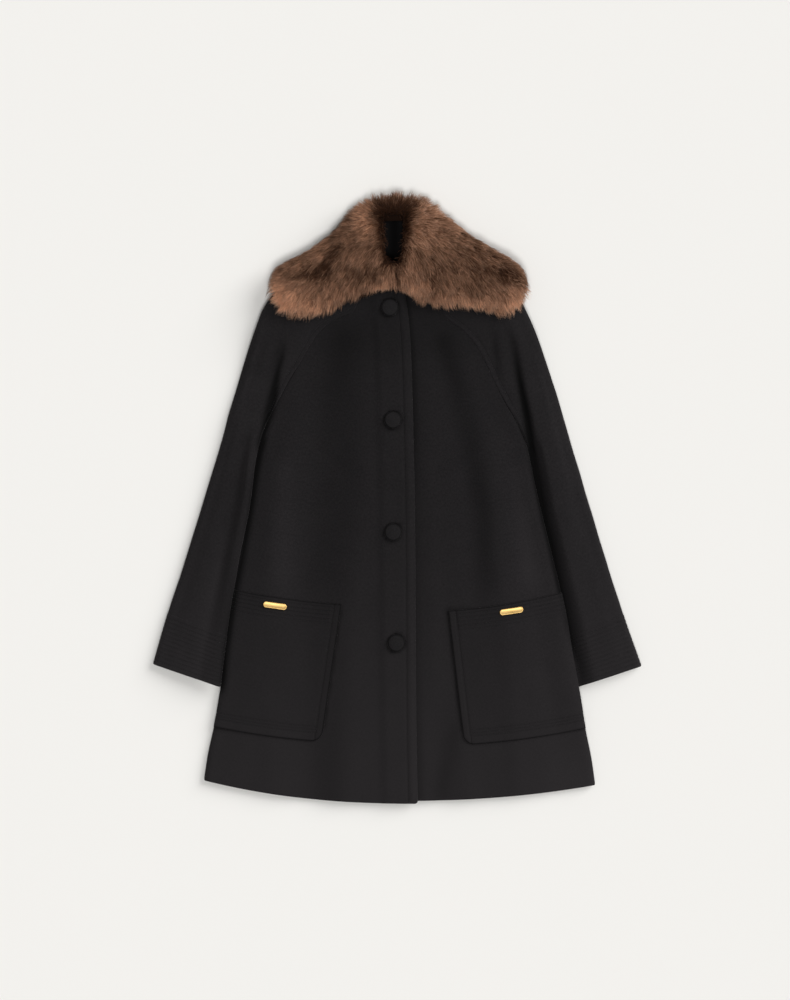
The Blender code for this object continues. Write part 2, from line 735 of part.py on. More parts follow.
def make_collar():
    """The fur collar: a crowned form, opened for the coat inside it and for the neck."""
    rim = collar_outline()
    centre_x, centre_y = COLLAR_CENTRE
    mesh = bpy.data.meshes.new("collar")
    body = bmesh.new()

    def ring(share, over):
        verts = []
        for x, y in rim:
            rise = math.sin(math.atan2(y - centre_y, x - centre_x))
            front = smooth(0.5 - COLLAR_FRONT_BLEND * rise)
            back = smooth((rise - COLLAR_BACK_FROM) / COLLAR_BACK_OVER)
            edge = mix(COLLAR_SHOULDER_EDGE, COLLAR_FRONT_EDGE, front)
            outer = smooth(share / COLLAR_BACK_OVER)
            crest = mix(COLLAR_CREST, COLLAR_BACK_CREST, back * outer)
            if over:
                z = mix(edge, crest, math.sqrt(1.0 - share ** COLLAR_TOP_POWER))
            else:
                z = edge * (1.0 - math.sqrt(1.0 - share ** COLLAR_UNDER_POWER))
            verts.append(body.verts.new((mix(centre_x, x, share) * MM,
                                         mix(centre_y, y, share) * MM, z * MM)))
        return verts

    rings = [ring(share, False) for share in reversed(COLLAR_BOTTOM_RINGS)]
    rings.append(ring(1.0, True))
    rings += [ring(share, True) for share in COLLAR_TOP_RINGS]
    for low, high in zip(rings, rings[1:]):
        for k in range(COLLAR_SIDES):
            after = (k + 1) % COLLAR_SIDES
            body.faces.new((low[k], low[after], high[after], high[k]))
    for verts, z in ((rings[0], 0.0), (rings[-1], COLLAR_CREST)):
        pole = body.verts.new((centre_x * MM, centre_y * MM, z * MM))
        for k in range(COLLAR_SIDES):
            body.faces.new((verts[k], verts[(k + 1) % COLLAR_SIDES], pole))
    bmesh.ops.recalc_face_normals(body, faces=body.faces)
    body.to_mesh(mesh)
    body.free()
    mesh.shade_smooth()
    collar = add_object("collar", mesh, make_material("collar_fur", FUR, 0.8))

    cavity = []
    for sign, side in ((-1, RIGHT), (1, LEFT)):
        line = [(sign * x, y) for x, y in CAVITY_SIDE]
        shoulder = [(sign * row["outer_x"], row["outer_y"]) for row in side.raglan[1:]]
        line += moved_in(shoulder, sign * -CAVITY_MARGIN)
        line.append((sign * CAVITY_NECK[0], CAVITY_NECK[1]))
        cavity.append(line)
    plan = cavity[0] + cavity[1][::-1]
    for name, outline, low, high in (
        ("cavity", plan, COLLAR_UNDER, CAVITY_TOP),
        ("neck_slot", NECK_SLOT, COLLAR_UNDER + 1.0, COLLAR_CREST + 20.0),
    ):
        cutter = prism(name, outline, low, high)
        cut = collar.modifiers.new(name, "BOOLEAN")
        cut.operation = "DIFFERENCE"
        cut.object = cutter


def prism(name, outline, low, high):
    """A cutter: an outline raised from one height to another."""
    curve = bpy.data.curves.new(name, "CURVE")
    curve.dimensions = "2D"
    curve.fill_mode = "BOTH"
    curve.extrude = (high - low) / 2 * MM
    spline = curve.splines.new("POLY")
    spline.points.add(len(outline) - 1)
    for point, (x, y) in zip(spline.points, outline):
        point.co = (x * MM, y * MM, 0.0, 1.0)
    spline.use_cyclic_u = True
    drawn = bpy.data.objects.new(name + "_drawn", curve)
    CUTTERS.objects.link(drawn)
    drawn.location.z = (low + high) / 2 * MM
    bpy.context.view_layer.update()
    evaluated = drawn.evaluated_get(bpy.context.evaluated_depsgraph_get())
    mesh = bpy.data.meshes.new_from_object(evaluated)
    joined = bmesh.new()
    joined.from_mesh(mesh)
    bmesh.ops.remove_doubles(joined, verts=joined.verts, dist=0.00001)
    bmesh.ops.recalc_face_normals(joined, faces=joined.faces)
    joined.to_mesh(mesh)
    joined.free()
    cutter = bpy.data.objects.new(name, mesh)
    cutter.matrix_world = drawn.matrix_world.copy()
    bpy.data.objects.remove(drawn, do_unlink=True)
    cutter.hide_render = True
    cutter.display_type = "WIRE"
    CUTTERS.objects.link(cutter)
    return cutter


for old in list(bpy.data.objects):
    bpy.data.objects.remove(old, do_unlink=True)
COAT = bpy.data.collections.new("wool_coat")
CUTTERS = bpy.data.collections.new("cutters")
for group in (COAT, CUTTERS):
    bpy.context.scene.collection.children.link(group)

make_body()
make_sleeves()
make_pockets()
make_buttons()
make_bars()
make_collar()
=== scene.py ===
"""The looks of a black wool coat with a fur collar, laid flat on its back, as an add-on.

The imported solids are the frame. A fine shell on the same sections stands for each cloth solid,
a skin with its hair stands for the collar, and the stage goes round them. Tables and the sums
on them are in millimetres, and meshes and sizes that a user sets are in metres. +Z is up, the
collar points along +Y, and the wearer's right side lies at -X.
"""
import functools
import math

import bpy
import numpy as np
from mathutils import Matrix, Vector
from mathutils.bvhtree import BVHTree
from mathutils.kdtree import KDTree


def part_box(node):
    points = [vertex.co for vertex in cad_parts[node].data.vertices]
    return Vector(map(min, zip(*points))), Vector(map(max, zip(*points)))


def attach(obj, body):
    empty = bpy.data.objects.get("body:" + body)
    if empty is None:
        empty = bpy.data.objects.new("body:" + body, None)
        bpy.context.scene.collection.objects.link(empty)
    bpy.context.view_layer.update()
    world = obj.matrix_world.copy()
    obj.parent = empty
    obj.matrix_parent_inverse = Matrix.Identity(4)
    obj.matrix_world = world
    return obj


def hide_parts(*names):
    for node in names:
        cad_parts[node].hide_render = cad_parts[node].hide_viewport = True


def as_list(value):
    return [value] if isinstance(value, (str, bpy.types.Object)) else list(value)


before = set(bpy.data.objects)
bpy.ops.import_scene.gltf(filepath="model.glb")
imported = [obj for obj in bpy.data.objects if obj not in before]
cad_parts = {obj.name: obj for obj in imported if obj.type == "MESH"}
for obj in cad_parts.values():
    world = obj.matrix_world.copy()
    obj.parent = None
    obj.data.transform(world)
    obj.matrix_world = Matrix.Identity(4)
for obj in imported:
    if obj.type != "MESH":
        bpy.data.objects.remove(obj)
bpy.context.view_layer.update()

bl_info = {
    "name": "Wool coat with fur collar",
    "version": (1, 0, 0),
    "blender": (4, 5, 0),
    "location": "View3D > Sidebar > Coat",
    "description": "Builds the cloth, stitching, buttons, trim, fur and stage of a wool coat",
    "category": "Object",
}

MM = 0.001

# Flattened tubes, as in the part's source: folds, heights of their layers, and seams
CLOTH = 2.4
SEAM_GAP = 0.3
SEAM_CLOSE = 0.23
LAYER_GAP = 0.4
BODY_FOLD = 10.0
SLEEVE_FOLD = 9.0
EASE = 40.0
EASE_SHARE = 0.3
NARROW_FOLD = 0.32
LEAST_TURN = 0.02
BODY_MIDDLE = 14.0
BODY_HEM_DROP = 2.5
HEM_DROP_FROM = -330.0
HEM_DROP_OVER = 110.0
BODY_SIDE = 11.0
SLEEVE_MIDDLE = 15.0
SLEEVE_SIDE = 12.0
NECK_LIFT = 10.0
LIFT_FROM = 190.0
LIFT_TO = 268.0

# Front edges: x at the neck, how far they have run out at a y, and their overlap
FRONT_EDGE = (
    (-457, 21.0), (-434, 20.5), (-386, 19.3), (-314, 18.4), (-218, 17.8), (-98, 17.3),
    (-2, 16.2), (46, 15.4), (94, 14.2), (142, 13.2), (190, 11.8), (214, 10.8), (240, 9.5),
    (264, 7.5), (288, 4.5), (312, 0.0),
)
RIGHT_EDGE_X = 10.0
LEFT_EDGE_X = -32.0
OVERLAP_RISE = 2.8
OVERLAP_MARGIN = 16.0
OVERLAP_RAMP = 14.0
ROW_BOW = 2.3
BACK_SHORT = 3.0

# Rows of the body below the underarm: y at the front edge and at the side fold, each front
ROW_COLUMNS = ("right_edge", "right_side", "left_edge", "left_side")
BODY_ROWS = (
    (-457, -422, -453, -429),
    (-414, -383, -413, -388),
    (-369, -342, -372, -344),
    (-354, -327, -357, -329),
    (-300, -274, -304, -275),
    (-245, -219, -250, -220),
    (-191, -165, -200, -170),
    (-161, -135, -170, -140),
    (-112, -88, -120, -92),
    (-60, -40, -66, -45),
    (-8, 8, -14, 0),
    (38, 48, 28, 34),
    (70, 82, 60, 64),
)
POCKET_BOTTOM = 2
POCKET_BAND = 6
POCKET_TOP = 7

# Side folds: distance from the middle and height of the layer below, at a y
RIGHT_SIDE = (
    (-422, 290, 0), (-383, 284, 0), (-342, 275, 0), (-327, 272, 0), (-274, 263, 0),
    (-219, 260, 0), (-165, 253, 0), (-135, 249, 0), (-88, 240, 0), (-40, 230, 0),
    (8, 221.5, 0), (48, 215, 0), (82, 207.5, 0), (105, 200, 0),
)
LEFT_SIDE = (
    (-429, 297, 0), (-388, 291, 1.5), (-344, 282, 4.6), (-329, 279.5, 6), (-275, 270, 8.4),
    (-220, 260, 8.4), (-170, 252, 8.4), (-140, 245.5, 8.4), (-92, 234, 8.4), (-45, 222.5, 8.4),
    (0, 211.5, 8.4), (34, 204, 8.4), (64, 198, 6), (85, 193, 0),
)

# A sleeve's sections from the cuff to the underarm: its outer fold, its inner fold, and the
# heights that the inner fold lies between
SLEEVE_COLUMNS = ("outer_x", "outer_y", "inner_x", "inner_y", "under", "over")
RIGHT_SLEEVE = tuple((*row, 14.6, 25.5) for row in (
    (366, -248, 265, -282), (344, -172, 255.1, -205), (337, -150, 252, -182),
    (326, -118, 247, -150), (316, -86, 241, -118), (306, -54, 235.5, -85),
    (296, -22, 228.5, -52), (287, 8, 222, -20), (277.5, 39, 217, 14),
)) + (
    (268, 70, 213.2, 47, 14.6, 25),
    (260, 98, 207.2, 80, 7, 19),
)
LEFT_SLEEVE = tuple((*row, 0, 7.5) for row in (
    (366, -251, 266, -284), (339, -174, 253, -207), (332, -152, 248.5, -184),
    (322, -122, 241.5, -152), (312, -89, 234, -120), (302, -57, 226.5, -87),
    (293, -26, 218, -53), (283, 6, 210.5, -20), (274, 38, 206, 12), (264, 70, 201, 45),
    (256, 98, 196.4, 68),
))

# Raglan seams from the underarm to the neck: the outer fold beside each point, the front seam
# with its height, the back seam with its height, and y at the front edge and the back's middle
RAGLAN_COLUMNS = (
    "outer_x", "outer_y", "front_x", "front_y", "front_z", "back_x", "back_y", "back_z",
    "edge_y", "middle_y",
)
RIGHT_RAGLAN = (
    (254, 122, 200, 105, 5.5, 200, 105, 5.5, 95, 95),
    (243, 158, 180, 144, 9.5, 182, 150, 1.2, 138, 145),
    (233, 192, 163, 175, 13, 166, 190, 0, 173, 190),
    (223, 224, 146, 203, 14, 150, 226, 0, 203, 228),
    (212, 256, 130, 231, 14, 133, 260, 0, 231, 263),
    (201, 284, 114, 253, 14, 116, 292, 0, 253, 296),
    (184, 309, 93, 268, 14, 98, 323, 0, 270, 328),
    (155, 337, 68, 278, 14, 80, 352, 0, 282, 357),
    (112, 371, 62, 288, 14, 64, 380, 0, 297, 386),
    (58, 412, 56, 299, 14, 48, 408, 0, 312, 416),
)
LEFT_RAGLAN = (
    (249, 122, 193, 85, 5.5, 193, 85, 5.5, 82, 95),
    (241, 150, 178, 117, 11.5, 180, 132, 1.2, 114, 145),
    (231, 181, 162, 144, 13.6, 165, 175, 0, 143, 190),
    (220, 214, 146, 175, 14, 149, 214, 0, 175, 228),
    (209, 245, 131, 207, 14, 132, 252, 0, 207, 263),
    (197, 273, 116, 233, 14, 115, 287, 0, 233, 296),
    (182, 302, 98, 252, 14, 97, 320, 0, 254, 328),
    (154, 335, 75, 269, 14, 79, 350, 0, 274, 357),
    (112, 371, 65, 283, 14, 64, 380, 0, 294, 386),
    (58, 412, 57, 298, 14, 48, 408, 0, 312, 416),
)

# Creases of the upper layers: a half width, a path of points (x, y, depth), and how dark the
# painted shade is in its depth, if it has any. A negative depth is a ridge. None goes below the
# least height
CREASE_COLUMNS = ("half_width", "path", "dark")
LEAST_HEIGHT = 5.4
CREASES = (
    (24.0, ((-110, 240, 0.8), (-119, 88, 3.0), (-123, -2, 3.0), (-138, -122, 2.6),
            (-136, -300, 1.6), (-131, -452, 2.6))),
    (22.0, ((-43, 240, -0.6), (-53, 88, -2.6), (-50, -2, -2.4), (-70, -122, -2.4),
            (-78, -302, -2.2), (-84, -452, -2.4))),
    (22.0, ((-166, 110, -0.4), (-176, 50, -1.4), (-186, -100, -1.8), (-196, -250, -1.0),
            (-186, -450, -1.8))),
    (17.0, ((92, 240, -0.5), (117, 148, -2.0), (131, 88, -2.6), (139, 28, -2.6),
            (147, -62, -2.5), (158, -137, -2.2), (172, -300, -1.4), (180, -445, -1.8))),
    (18.0, ((66, 235, 0.5), (86, 148, 1.8), (97, 88, 2.2), (104, 28, 2.2), (110, -62, 1.9),
            (117, -137, 1.0), (120, -200, 0.2))),
    (12.0, ((41, 262, -0.3), (47, 88, -1.3), (52, -137, -1.3), (54, -300, -0.8))),
    (17.0, ((96, -300, -0.2), (101, -380, -1.2), (105, -455, -2.2))),
    (15.0, ((58, -290, 0.2), (61, -380, 1.0), (65, -455, 1.8))),
    (24.0, ((222, -240, 0.1), (236, -330, 0.8), (248, -440, 1.6))),
    (7.0, ((-198, 272, -0.3), (-206, 250, -1.8), (-222, 190, -2.6), (-240, 133, -2.2),
           (-254, 92, -0.4))),
    (7.0, ((-212, 262, 0.3), (-218, 245, 1.2), (-234, 190, 1.6), (-251, 133, 1.0),
           (-262, 98, 0.2)), 0.2),
    (6.0, ((202, 220, -0.3), (211, 192, -2.2), (222, 156, -2.2), (234, 118, -0.4))),
    (6.0, ((141, 262, 0.2), (146, 226, 1.8), (150, 196, 1.4), (153, 176, 0.2)), 0.3),
    (9.0, ((-206, 232, 0.2), (-214, 200, 1.0), (-228, 150, 0.8), (-236, 120, 0.1))),
    (10.0, ((-250, 70, 0.2), (-268, 10, 1.3), (-292, -70, 1.0), (-306, -130, 0.1))),
    (9.0, ((-232, 40, -0.2), (-250, -30, -1.2), (-268, -100, -0.8), (-280, -150, -0.1))),
    (17.0, ((-268, -60, -0.6), (-287, -130, -2.2), (-299, -218, -2.8), (-308, -272, -2.4))),
    (9.0, ((246, 60, 0.2), (262, 0, 1.2), (276, -60, 1.0), (292, -130, 0.1))),
    (8.0, ((262, 50, -0.2), (282, -10, -1.0), (297, -60, -0.9), (314, -120, -0.1))),
    (7.0, ((-210, 118, 0.1), (-220, 100, 1.2), (-234, 84, 1.0), (-250, 72, 0.1)), 0.1),
)

# How far a sleeve's front is domed, and how much less it is beside the raglan seam
SLEEVE_DOME = 3.2
DOME_LESS = 0.6

# Folds where the sleeves meet the body: a path of points with the depth, the widths towards
# the body and away from it, and how dark their painted shade is. They start this far from the seam
FOLD_START = 7.0
FOLDS = (
    ((-169, 234, 0.3, 3, 3, 0.1), (-172, 212, 1.6, 3, 4, 0.5), (-178, 193, 2.2, 3, 4, 0.45),
     (-182, 172, 3.2, 4, 6, 0.6), (-184.5, 155, 4.5, 5, 8, 0.75), (-188.6, 140.6, 5.5, 6, 8, 0.8),
     (-194.6, 118, 6.0, 4, 6, 0.9), (-200, 100, 5.0, 4, 5, 0.9), (-204, 86, 3.0, 4, 5, 0.9),
     (-208, 70, 1.0, 4, 3, 0.6)),
    ((164, 262, 0.2, 6, 4, 0.05), (168, 253, 0.5, 7, 4, 0.15), (176.6, 223, 2.0, 8, 4.5, 0.35),
     (181, 193, 3.8, 8, 4.5, 0.55), (186.4, 163, 5.4, 8, 4.5, 0.7), (193, 133, 7.0, 8, 4.5, 0.85),
     (198.4, 103, 7.4, 8, 5, 0.9), (202, 73, 7.0, 7, 6, 0.92), (205, 43, 6.5, 5, 9, 0.95),
     (209.6, 13, 6.0, 4, 11, 0.95), (219.4, -32, 5.6, 4, 11, 0.93), (230.6, -77, 5.2, 4, 11, 0.9),
     (240.4, -122, 5.0, 4, 11, 0.85), (250.9, -167, 4.8, 4, 11, 0.75),
     (259.9, -212, 4.4, 4, 11, 0.7), (269.6, -249, 3.6, 4, 11, 0.55),
     (275, -284, 2.4, 4, 11, 0.4)),
    ((-203, 88, 0, 7, 3, 0.85), (-212, 43, 0, 7, 3, 0.85), (-218.6, -2, 0, 7, 3, 0.8),
     (-226, -47, 0, 7, 3, 0.75), (-233.6, -92, 0, 7, 3, 0.72), (-243, -137, 0, 7, 3, 0.7),
     (-251, -182, 0, 7, 3, 0.66), (-257.6, -227, 0, 7, 3, 0.62), (-264, -284, 0, 7, 3, 0.6)),
)

# Bands of painted shade over the fronts and sleeves, or of painted highlight below zero: the light
# and shade of broad folds, under the collar and beside the sleeves
SHADING_BANDS = (
    (30.0, ((-78, 235, 0.24), (-88, 170, 0.24), (-80, 118, 0.17), (-80, 43, 0.14),
            (-88, -32, 0.16), (-100, -107, 0.17), (-92, -182, 0.08), (-100, -360, 0.13),
            (-100, -440, 0.13))),
    (15.0, ((68, 235, 0.24), (87, 170, 0.22), (92, 118, 0.13), (117, 43, 0.19),
            (131, -32, 0.21), (132, -107, 0.21), (128, -150, 0.1))),
    (14.0, ((87, -345, 0.14), (65, -440, 0.15))),
    (24.0, ((165, 60, -0.05), (180, 30, -0.13), (188, -32, -0.15), (196, -120, -0.17))),
    (20.0, ((-165, 60, -0.06), (-168, 0, -0.11), (-172, -107, -0.13), (-178, -150, -0.04))),
    (55.0, ((-70, 262, 0.16), (70, 262, 0.16))),
    (52.0, ((222, 60, -0.04), (222, -60, -0.08), (225, -182, -0.22), (236, -272, -0.22),
            (247, -350, -0.12), (262, -430, -0.2))),
    (9.0, ((-258, -60, -0.06), (-268, -111, -0.15), (-279, -218, -0.16),
           (-285, -275, -0.1))),
    (10.0, ((-230, 20, 0.1), (-244, -80, 0.2), (-257, -175, 0.3), (-268, -270, 0.28))),
    (7.0, ((-172, 242, 0.1), (-177, 223, 0.3), (-183, 171, 0.42), (-195, 118, 0.42),
           (-205, 80, 0.2))),
    (5.0, ((172, 235, 0.1), (181, 193, 0.2), (193, 133, 0.3), (202, 73, 0.3),
           (219, -32, 0.25), (249, -160, 0.3), (254, -185, 0.45), (262, -215, 0.25),
           (268, -240, 0.1))),
    (17.0, ((150, 100, -0.03), (170, 43, -0.22), (185, -32, -0.27), (201, -107, -0.27),
            (214, -165, -0.08))),
    (22.0, ((-160, 80, -0.04), (-170, 43, -0.12), (-172, -107, -0.1), (-172, -160, -0.03))),
    (14.0, ((-222, 175, -0.14), (-238, 118, -0.08), (-258, 43, -0.04), (-268, -32, -0.02))),
    (14.0, ((205, 190, -0.1), (232, 118, -0.14), (254, 43, -0.14), (272, -32, -0.1),
            (285, -90, -0.03))),
)
# Painted shade on the back where it shows through the neck opening
NECK_SHADE_BANDS = ((15.0, ((-5, 352, 0.7), (-5, 428, 0.7))),)

# How dark the painted shading is at rest, so that painted highlights can go below it, and how far
# it may be from that; then the painted shade in grooves and between the ridges of pockets and
# cuffs, the painted highlight on the lip, what is added on the sleeves, the painted highlight
# along their outer folds, and what is added on the pockets
REST_SHADING = 0.3
SHADING_RANGE = (-0.5, 1.0)
GROOVE_SHADE = 0.12
RIDGE_SHADE = (0.15, 0.1)
LIP_HIGHLIGHT = -0.1
SLEEVE_NAP = -0.12
SLEEVE_EDGE_HIGHLIGHT = (-0.08, 25.0)
POCKET_NAP = 0.05

# The shade beside a pocket: how dark and wide, where it ends below and how softly, and the same
# at the pocket's top
POCKET_SHADE = (0.38, 3.2)
POCKET_SHADE_END = (-350.0, 10.0)
POCKET_SHADE_TOP = (2.0, 8.0)

# The lip along the placket, and the valley beside it: depths, widths and how dark the valley's
# painted shade is along y
LIP = (0.7, 7.0, 4.5)
VALLEY = (0.9, 7.5)
VALLEY_SHADE = ((20.0, 95.0), (0.2, 0.46))
# Painted shade round each button on the cloth, how dark and wide; where the painted shade on a
# button's own rim starts and how softly, and how dark it is from the face to the rim
BUTTON_SHADE = (0.5, 1.3)
BUTTON_RIM = (0.82, 0.1)
BUTTON_RIM_SHADE = (0.42, 0.97)

# Creases of the layers that lie on the surface, which rise from it
UNDER_CREASES = (
    (16.0, ((-30, 250, 0.6), (-42, 120, 1.5), (-38, -30, 1.2), (-50, -180, 0.2))),
    (20.0, ((90, 210, 0.4), (104, 60, 1.4), (112, -120, 1.0), (120, -260, 0.2))),
    (14.0, ((-150, 180, 0.4), (-168, 40, 1.2), (-180, -110, 0.8), (-196, -240, 0.2))),
    (12.0, ((10, -250, 0.2), (16, -350, 1.2), (20, -450, 1.6))),
    (18.0, ((-130, -260, 0.2), (-140, -360, 1.2), (-150, -440, 1.7))),
    (16.0, ((176, -220, 0.2), (196, -330, 1.1), (212, -430, 1.5))),
    (8.0, ((270, 40, 0.2), (290, -30, 0.9), (306, -100, 0.7), (320, -160, 0.1))),
    (8.0, ((-262, 60, 0.2), (-282, -20, 0.9), (-300, -90, 0.7), (-318, -160, 0.1))),
    (9.0, ((-120, 330, 0.3), (-160, 270, 1.4), (-190, 200, 0.6), (-206, 150, 0.1))),
    (9.0, ((118, 330, 0.3), (158, 268, 1.2), (188, 196, 0.6), (204, 150, 0.1))),
)

# Channel-stitched bands, rows of topstitching and the distances they keep from the edges
CUFF_RIDGES = 12
POCKET_RIDGES = 5
POCKET_LINES = (13.0, 17.5, 22.0)
POCKET_SIDE_LINE = 11.0
PLACKET_LINE = 14.5
HIDDEN_LINE = 12.0
RAGLAN_LINE = 7.0
FROM_HEM = 6.0

# Grooves of the stitched lines: half widths of the form and of its painted shade, depths of those
# in seams and channels as shares of a full one, and the ridges beside them
GROOVE_HALF = 1.5
GROOVE_SHADE_HALF = 1.1
SEAM_GROOVE = 0.7
CHANNEL_GROOVE = 0.8
SEAM_RIDGE = 0.5
SEAM_START = 20.0
CUFF_RIDGE = 0.7
CUFF_GROOVE = 0.6
RIDGE_POWER = 0.7
LINE_STEPS = (-2.2, -1.0, 0.0, 1.0, 2.2)

# The dent in the cloth round each button: its depth and half width
BUTTON_DENT = 1.1
BUTTON_DENT_HALF = 3.2

# Pockets: x of the inner edge at the row's y and how far it runs out below, the corner's size,
# how far the cloth puffs up inside its edges, and how dark the painted shade is at them
POCKET_EDGE_Y = -158.0
RIGHT_POCKET_X = -83.0
LEFT_POCKET_X = 74.6
POCKET_FLARE = 0.145
LEFT_POCKET_FLARE = 0.118
POCKET_CORNER = 16.0
POCKET_PUFF = (0.7, 8.0, 45.0)
POCKET_EDGE_SHADE = (1.6, 0.65)
FRONT_CORNER = 5.0

# Buttons and bars: places in plan, a bar's with its turn
BUTTON_PLACES = ((-11.0, 286.0), (-6.4, 118.0), (-6.0, -50.0), (-1.2, -216.0))
BAR_PLACES = {"bar_right": (-183.0, -160.0, -0.14), "bar_left": (171.0, -168.0, 0.15)}

# A covered button's rings: radius as a share of the button's, and height above its seat
BUTTON_RINGS = (
    (0.7, 0.0), (0.78, 0.3), (0.87, 0.9), (0.95, 1.5), (1.0, 2.2), (1.0, 2.9), (0.985, 3.5),
    (0.955, 4.0), (0.91, 4.4),
    (0.84, 4.5), (0.7, 4.9), (0.5, 5.2), (0.26, 5.4),
)
BUTTON_SIDES = 64
BUTTON_INSET = 0.55
BUTTON_CROWN = 0.0001

# The uneven pleats of its lower edge: how high and deep they are, and their two waves
PLEAT_FROM = 0.9
PLEAT_HEIGHT = 0.0036
PLEAT_DEPTH = 0.012
PLEATS = 19
FINE_PLEATS = 31
FINE_START = 1.3

# A bar's round ends, its top edge and the shallow face in its top
BAR_END = 0.48
BAR_END_STEPS = 12
BAR_ROUND = 0.0011
BAR_ROUND_STEPS = 4
BAR_RIM = 0.0012
BAR_FACE_DEPTH = 0.0003
BAR_SMOOTH = 35.0

# The collar's outline in plan, from the centre front round by the wearer's right
COLLAR_OUTLINE = (
    (-2, 312), (-19, 310), (-41, 310), (-58, 302), (-80, 292), (-102, 281), (-124, 273),
    (-147, 270), (-168, 275), (-183, 290), (-191, 310), (-192, 328), (-182, 346), (-160, 358),
    (-131, 373), (-101, 396), (-80, 420), (-63, 440), (-35, 453), (0, 456), (30, 454),
    (52, 444), (68, 428), (87, 413), (108, 396), (139, 377), (168, 360), (187, 346),
    (195, 328), (195, 309), (189, 291), (177, 280), (161, 275), (139, 279), (110, 285),
    (80, 288), (50, 289), (27, 295), (12, 307),
)
OUTLINE_STEPS = 10
COLLAR_CENTRE = (-3.0, 372.0)
COLLAR_CREST = 47.0
COLLAR_BACK_CREST = 35.0
COLLAR_FRONT_EDGE = 31.0
COLLAR_SHOULDER_EDGE = 17.0
COLLAR_FRONT_BLEND = 1.4
COLLAR_BACK_FROM = 0.35
COLLAR_BACK_OVER = 0.6
COLLAR_TOP_POWER = 4
COLLAR_UNDER_POWER = 10

# The space that the coat fills inside the collar, and the neck opening from its floor upwards
COLLAR_UNDER = 9.7
CAVITY_TOP = 27.8
SPACE_TOP = CAVITY_TOP + 0.4
SLOT_FLOOR = 0.5
SLOT_TOP = 67.0
CAVITY_MARGIN = 2.2
CAVITY_NECK = (62.0, 421.0)
CAVITY_SIDE = ((300.0, 90.0), (256.0, 122.0))
NECK_SLOT = (
    (-20.0, 424.0), (-19.5, 400.0), (-18.5, 372.0), (-15.5, 359.0), (-3.2, 353.0),
    (-3.2, 290.0), (-1.2, 290.0), (-1.2, 353.0), (5.0, 359.0), (7.0, 376.0), (8.5, 400.0),
    (8.5, 424.0),
)

# The skin under the hair: how far it stays inside the collar's form, and its rings' shares of
# the way out from the middle
SKIN_INSET = 12.0
SKIN_NEAR = 4.0
WAY_PASSES = 4
DEPTH_PASSES = 6
SKIN_DROP = 9.0
SKIN_BACK_DROP = 3.0
SKIN_FRONT_DROP = 1.4
SKIN_UNDER = 3.2
SKIN_SIDES = 160
PELT_SMOOTH = 40.0
PELT_DARK = 0.2
SKIN_TOP_SHARES = (0.985, 0.96, 0.92, 0.87, 0.8, 0.72, 0.62, 0.5, 0.38, 0.26, 0.13)
SKIN_UNDER_SHARES = (0.99, 0.965, 0.93, 0.87, 0.75, 0.6, 0.45, 0.25)

# Patches of darker hair, or paler below zero: middle, half sizes, turn in degrees and strength
PATCH_COLUMNS = ("x", "y", "along", "across", "turn", "strength")
REST_FUR = 0.55
PATCHES = (
    (-165, 307, 30, 22, 0, -0.55), (-112, 292, 40, 11, -10, -0.36), (-72, 303, 22, 9, 15, -0.25),
    (-21, 321, 16, 12, 0, -0.7), (20, 322, 17, 12, 0, -0.42), (70, 300, 30, 9, 0, -0.3),
    (118, 299, 45, 11, -4, -0.38), (174, 305, 18, 20, 0, -0.46), (-44, 424, 14, 20, 20, -0.38),
    (-82, 400, 20, 12, 45, 0.16),
    (32, 405, 16, 42, -12, -0.14), (60, 425, 20, 14, -30, -0.16), (-42, 373, 16, 16, 0, -0.1),
    (-22, 425, 9, 22, 0, 0.3), (13, 425, 8, 22, 0, 0.3), (-3, 430, 20, 9, 0, 0.55),
    (-120, 343, 32, 9, 12, 0.5), (-98, 359, 14, 9, 50, 0.45), (-83, 376, 14, 8, 50, 0.35),
    (-45, 342, 26, 12, 10, 0.36), (-1, 326, 3.5, 16, 0, 0.5), (37, 355, 13, 21, 8, 0.24),
    (128, 352, 60, 24, -24, 0.25), (163, 339, 22, 11, -15, 0.33), (109, 324, 14, 9, -10, 0.3),
    (70, 352, 22, 28, 0, 0.12), (-38, 375, 12, 16, 0, 0.14),
)

# The way that the hair lies at places in plan, in degrees from +X
FLOW_COLUMNS = ("x", "y", "way")
FLOW_BLEND = 6.0
FLOW = (
    (-33, 441, 118), (-63, 426, 165), (-101, 392, 214), (-146, 358, 207), (-180, 330, 196),
    (-176, 296, 232), (-146, 286, 250), (-101, 298, 254), (-63, 308, 258), (-26, 320, 264),
    (-86, 352, 228), (-63, 388, 224), (-34, 395, 214), (-28, 420, 172), (-28, 360, 246),
    (-130, 325, 226), (-11, 445, 96), (19, 448, 66), (49, 440, 22), (74, 414, 336),
    (109, 386, 326), (154, 357, 330), (186, 330, 318), (190, 304, 290), (169, 290, 280),
    (124, 296, 288), (79, 300, 284), (34, 298, 279), (82, 350, 306), (44, 388, 316),
    (18, 392, 324), (16, 420, 10), (9, 328, 275), (14, 352, 290), (140, 325, 304),
    (-14, 328, 262), (-60, 410, 200),
)

# Hair in two coats, drawn together in tufts: rings on each hair, its length as a share of the
# longest, how steeply it stands in degrees, how far its tuft draws it in, and its width
HAIR_COLUMNS = ("name", "seed", "rings", "share", "lay", "pull", "thick")
HAIR_COATS = (
    ("long", 11, 3, 1.0, 20.0, 0.7, 1.0),
    ("short", 23, 2, 0.62, 34.0, 0.4, 0.95),
)
HAIR_SIDES = 3
TUFTS = 2400
CLUMPS = 420
LEAST_PULL = 0.35
PULL_RISE = 1.5

# x where the hair's right and left pieces end, half the width of the grids that hair is read
# against, and a height above the whole coat
FUR_ZONES = (-64.0, 58.0)
GRID_WIDE = 240.0
ABOVE_ALL = 100.0

# Roots on the pelt's upper side or not: their part of all, the share of the way out that they
# start at, and the rings that they are drawn from
ROOTS = ((True, 0.84, 0.06, 90), (False, 0.16, 0.55, 60))
ROOT_TURNS = 720

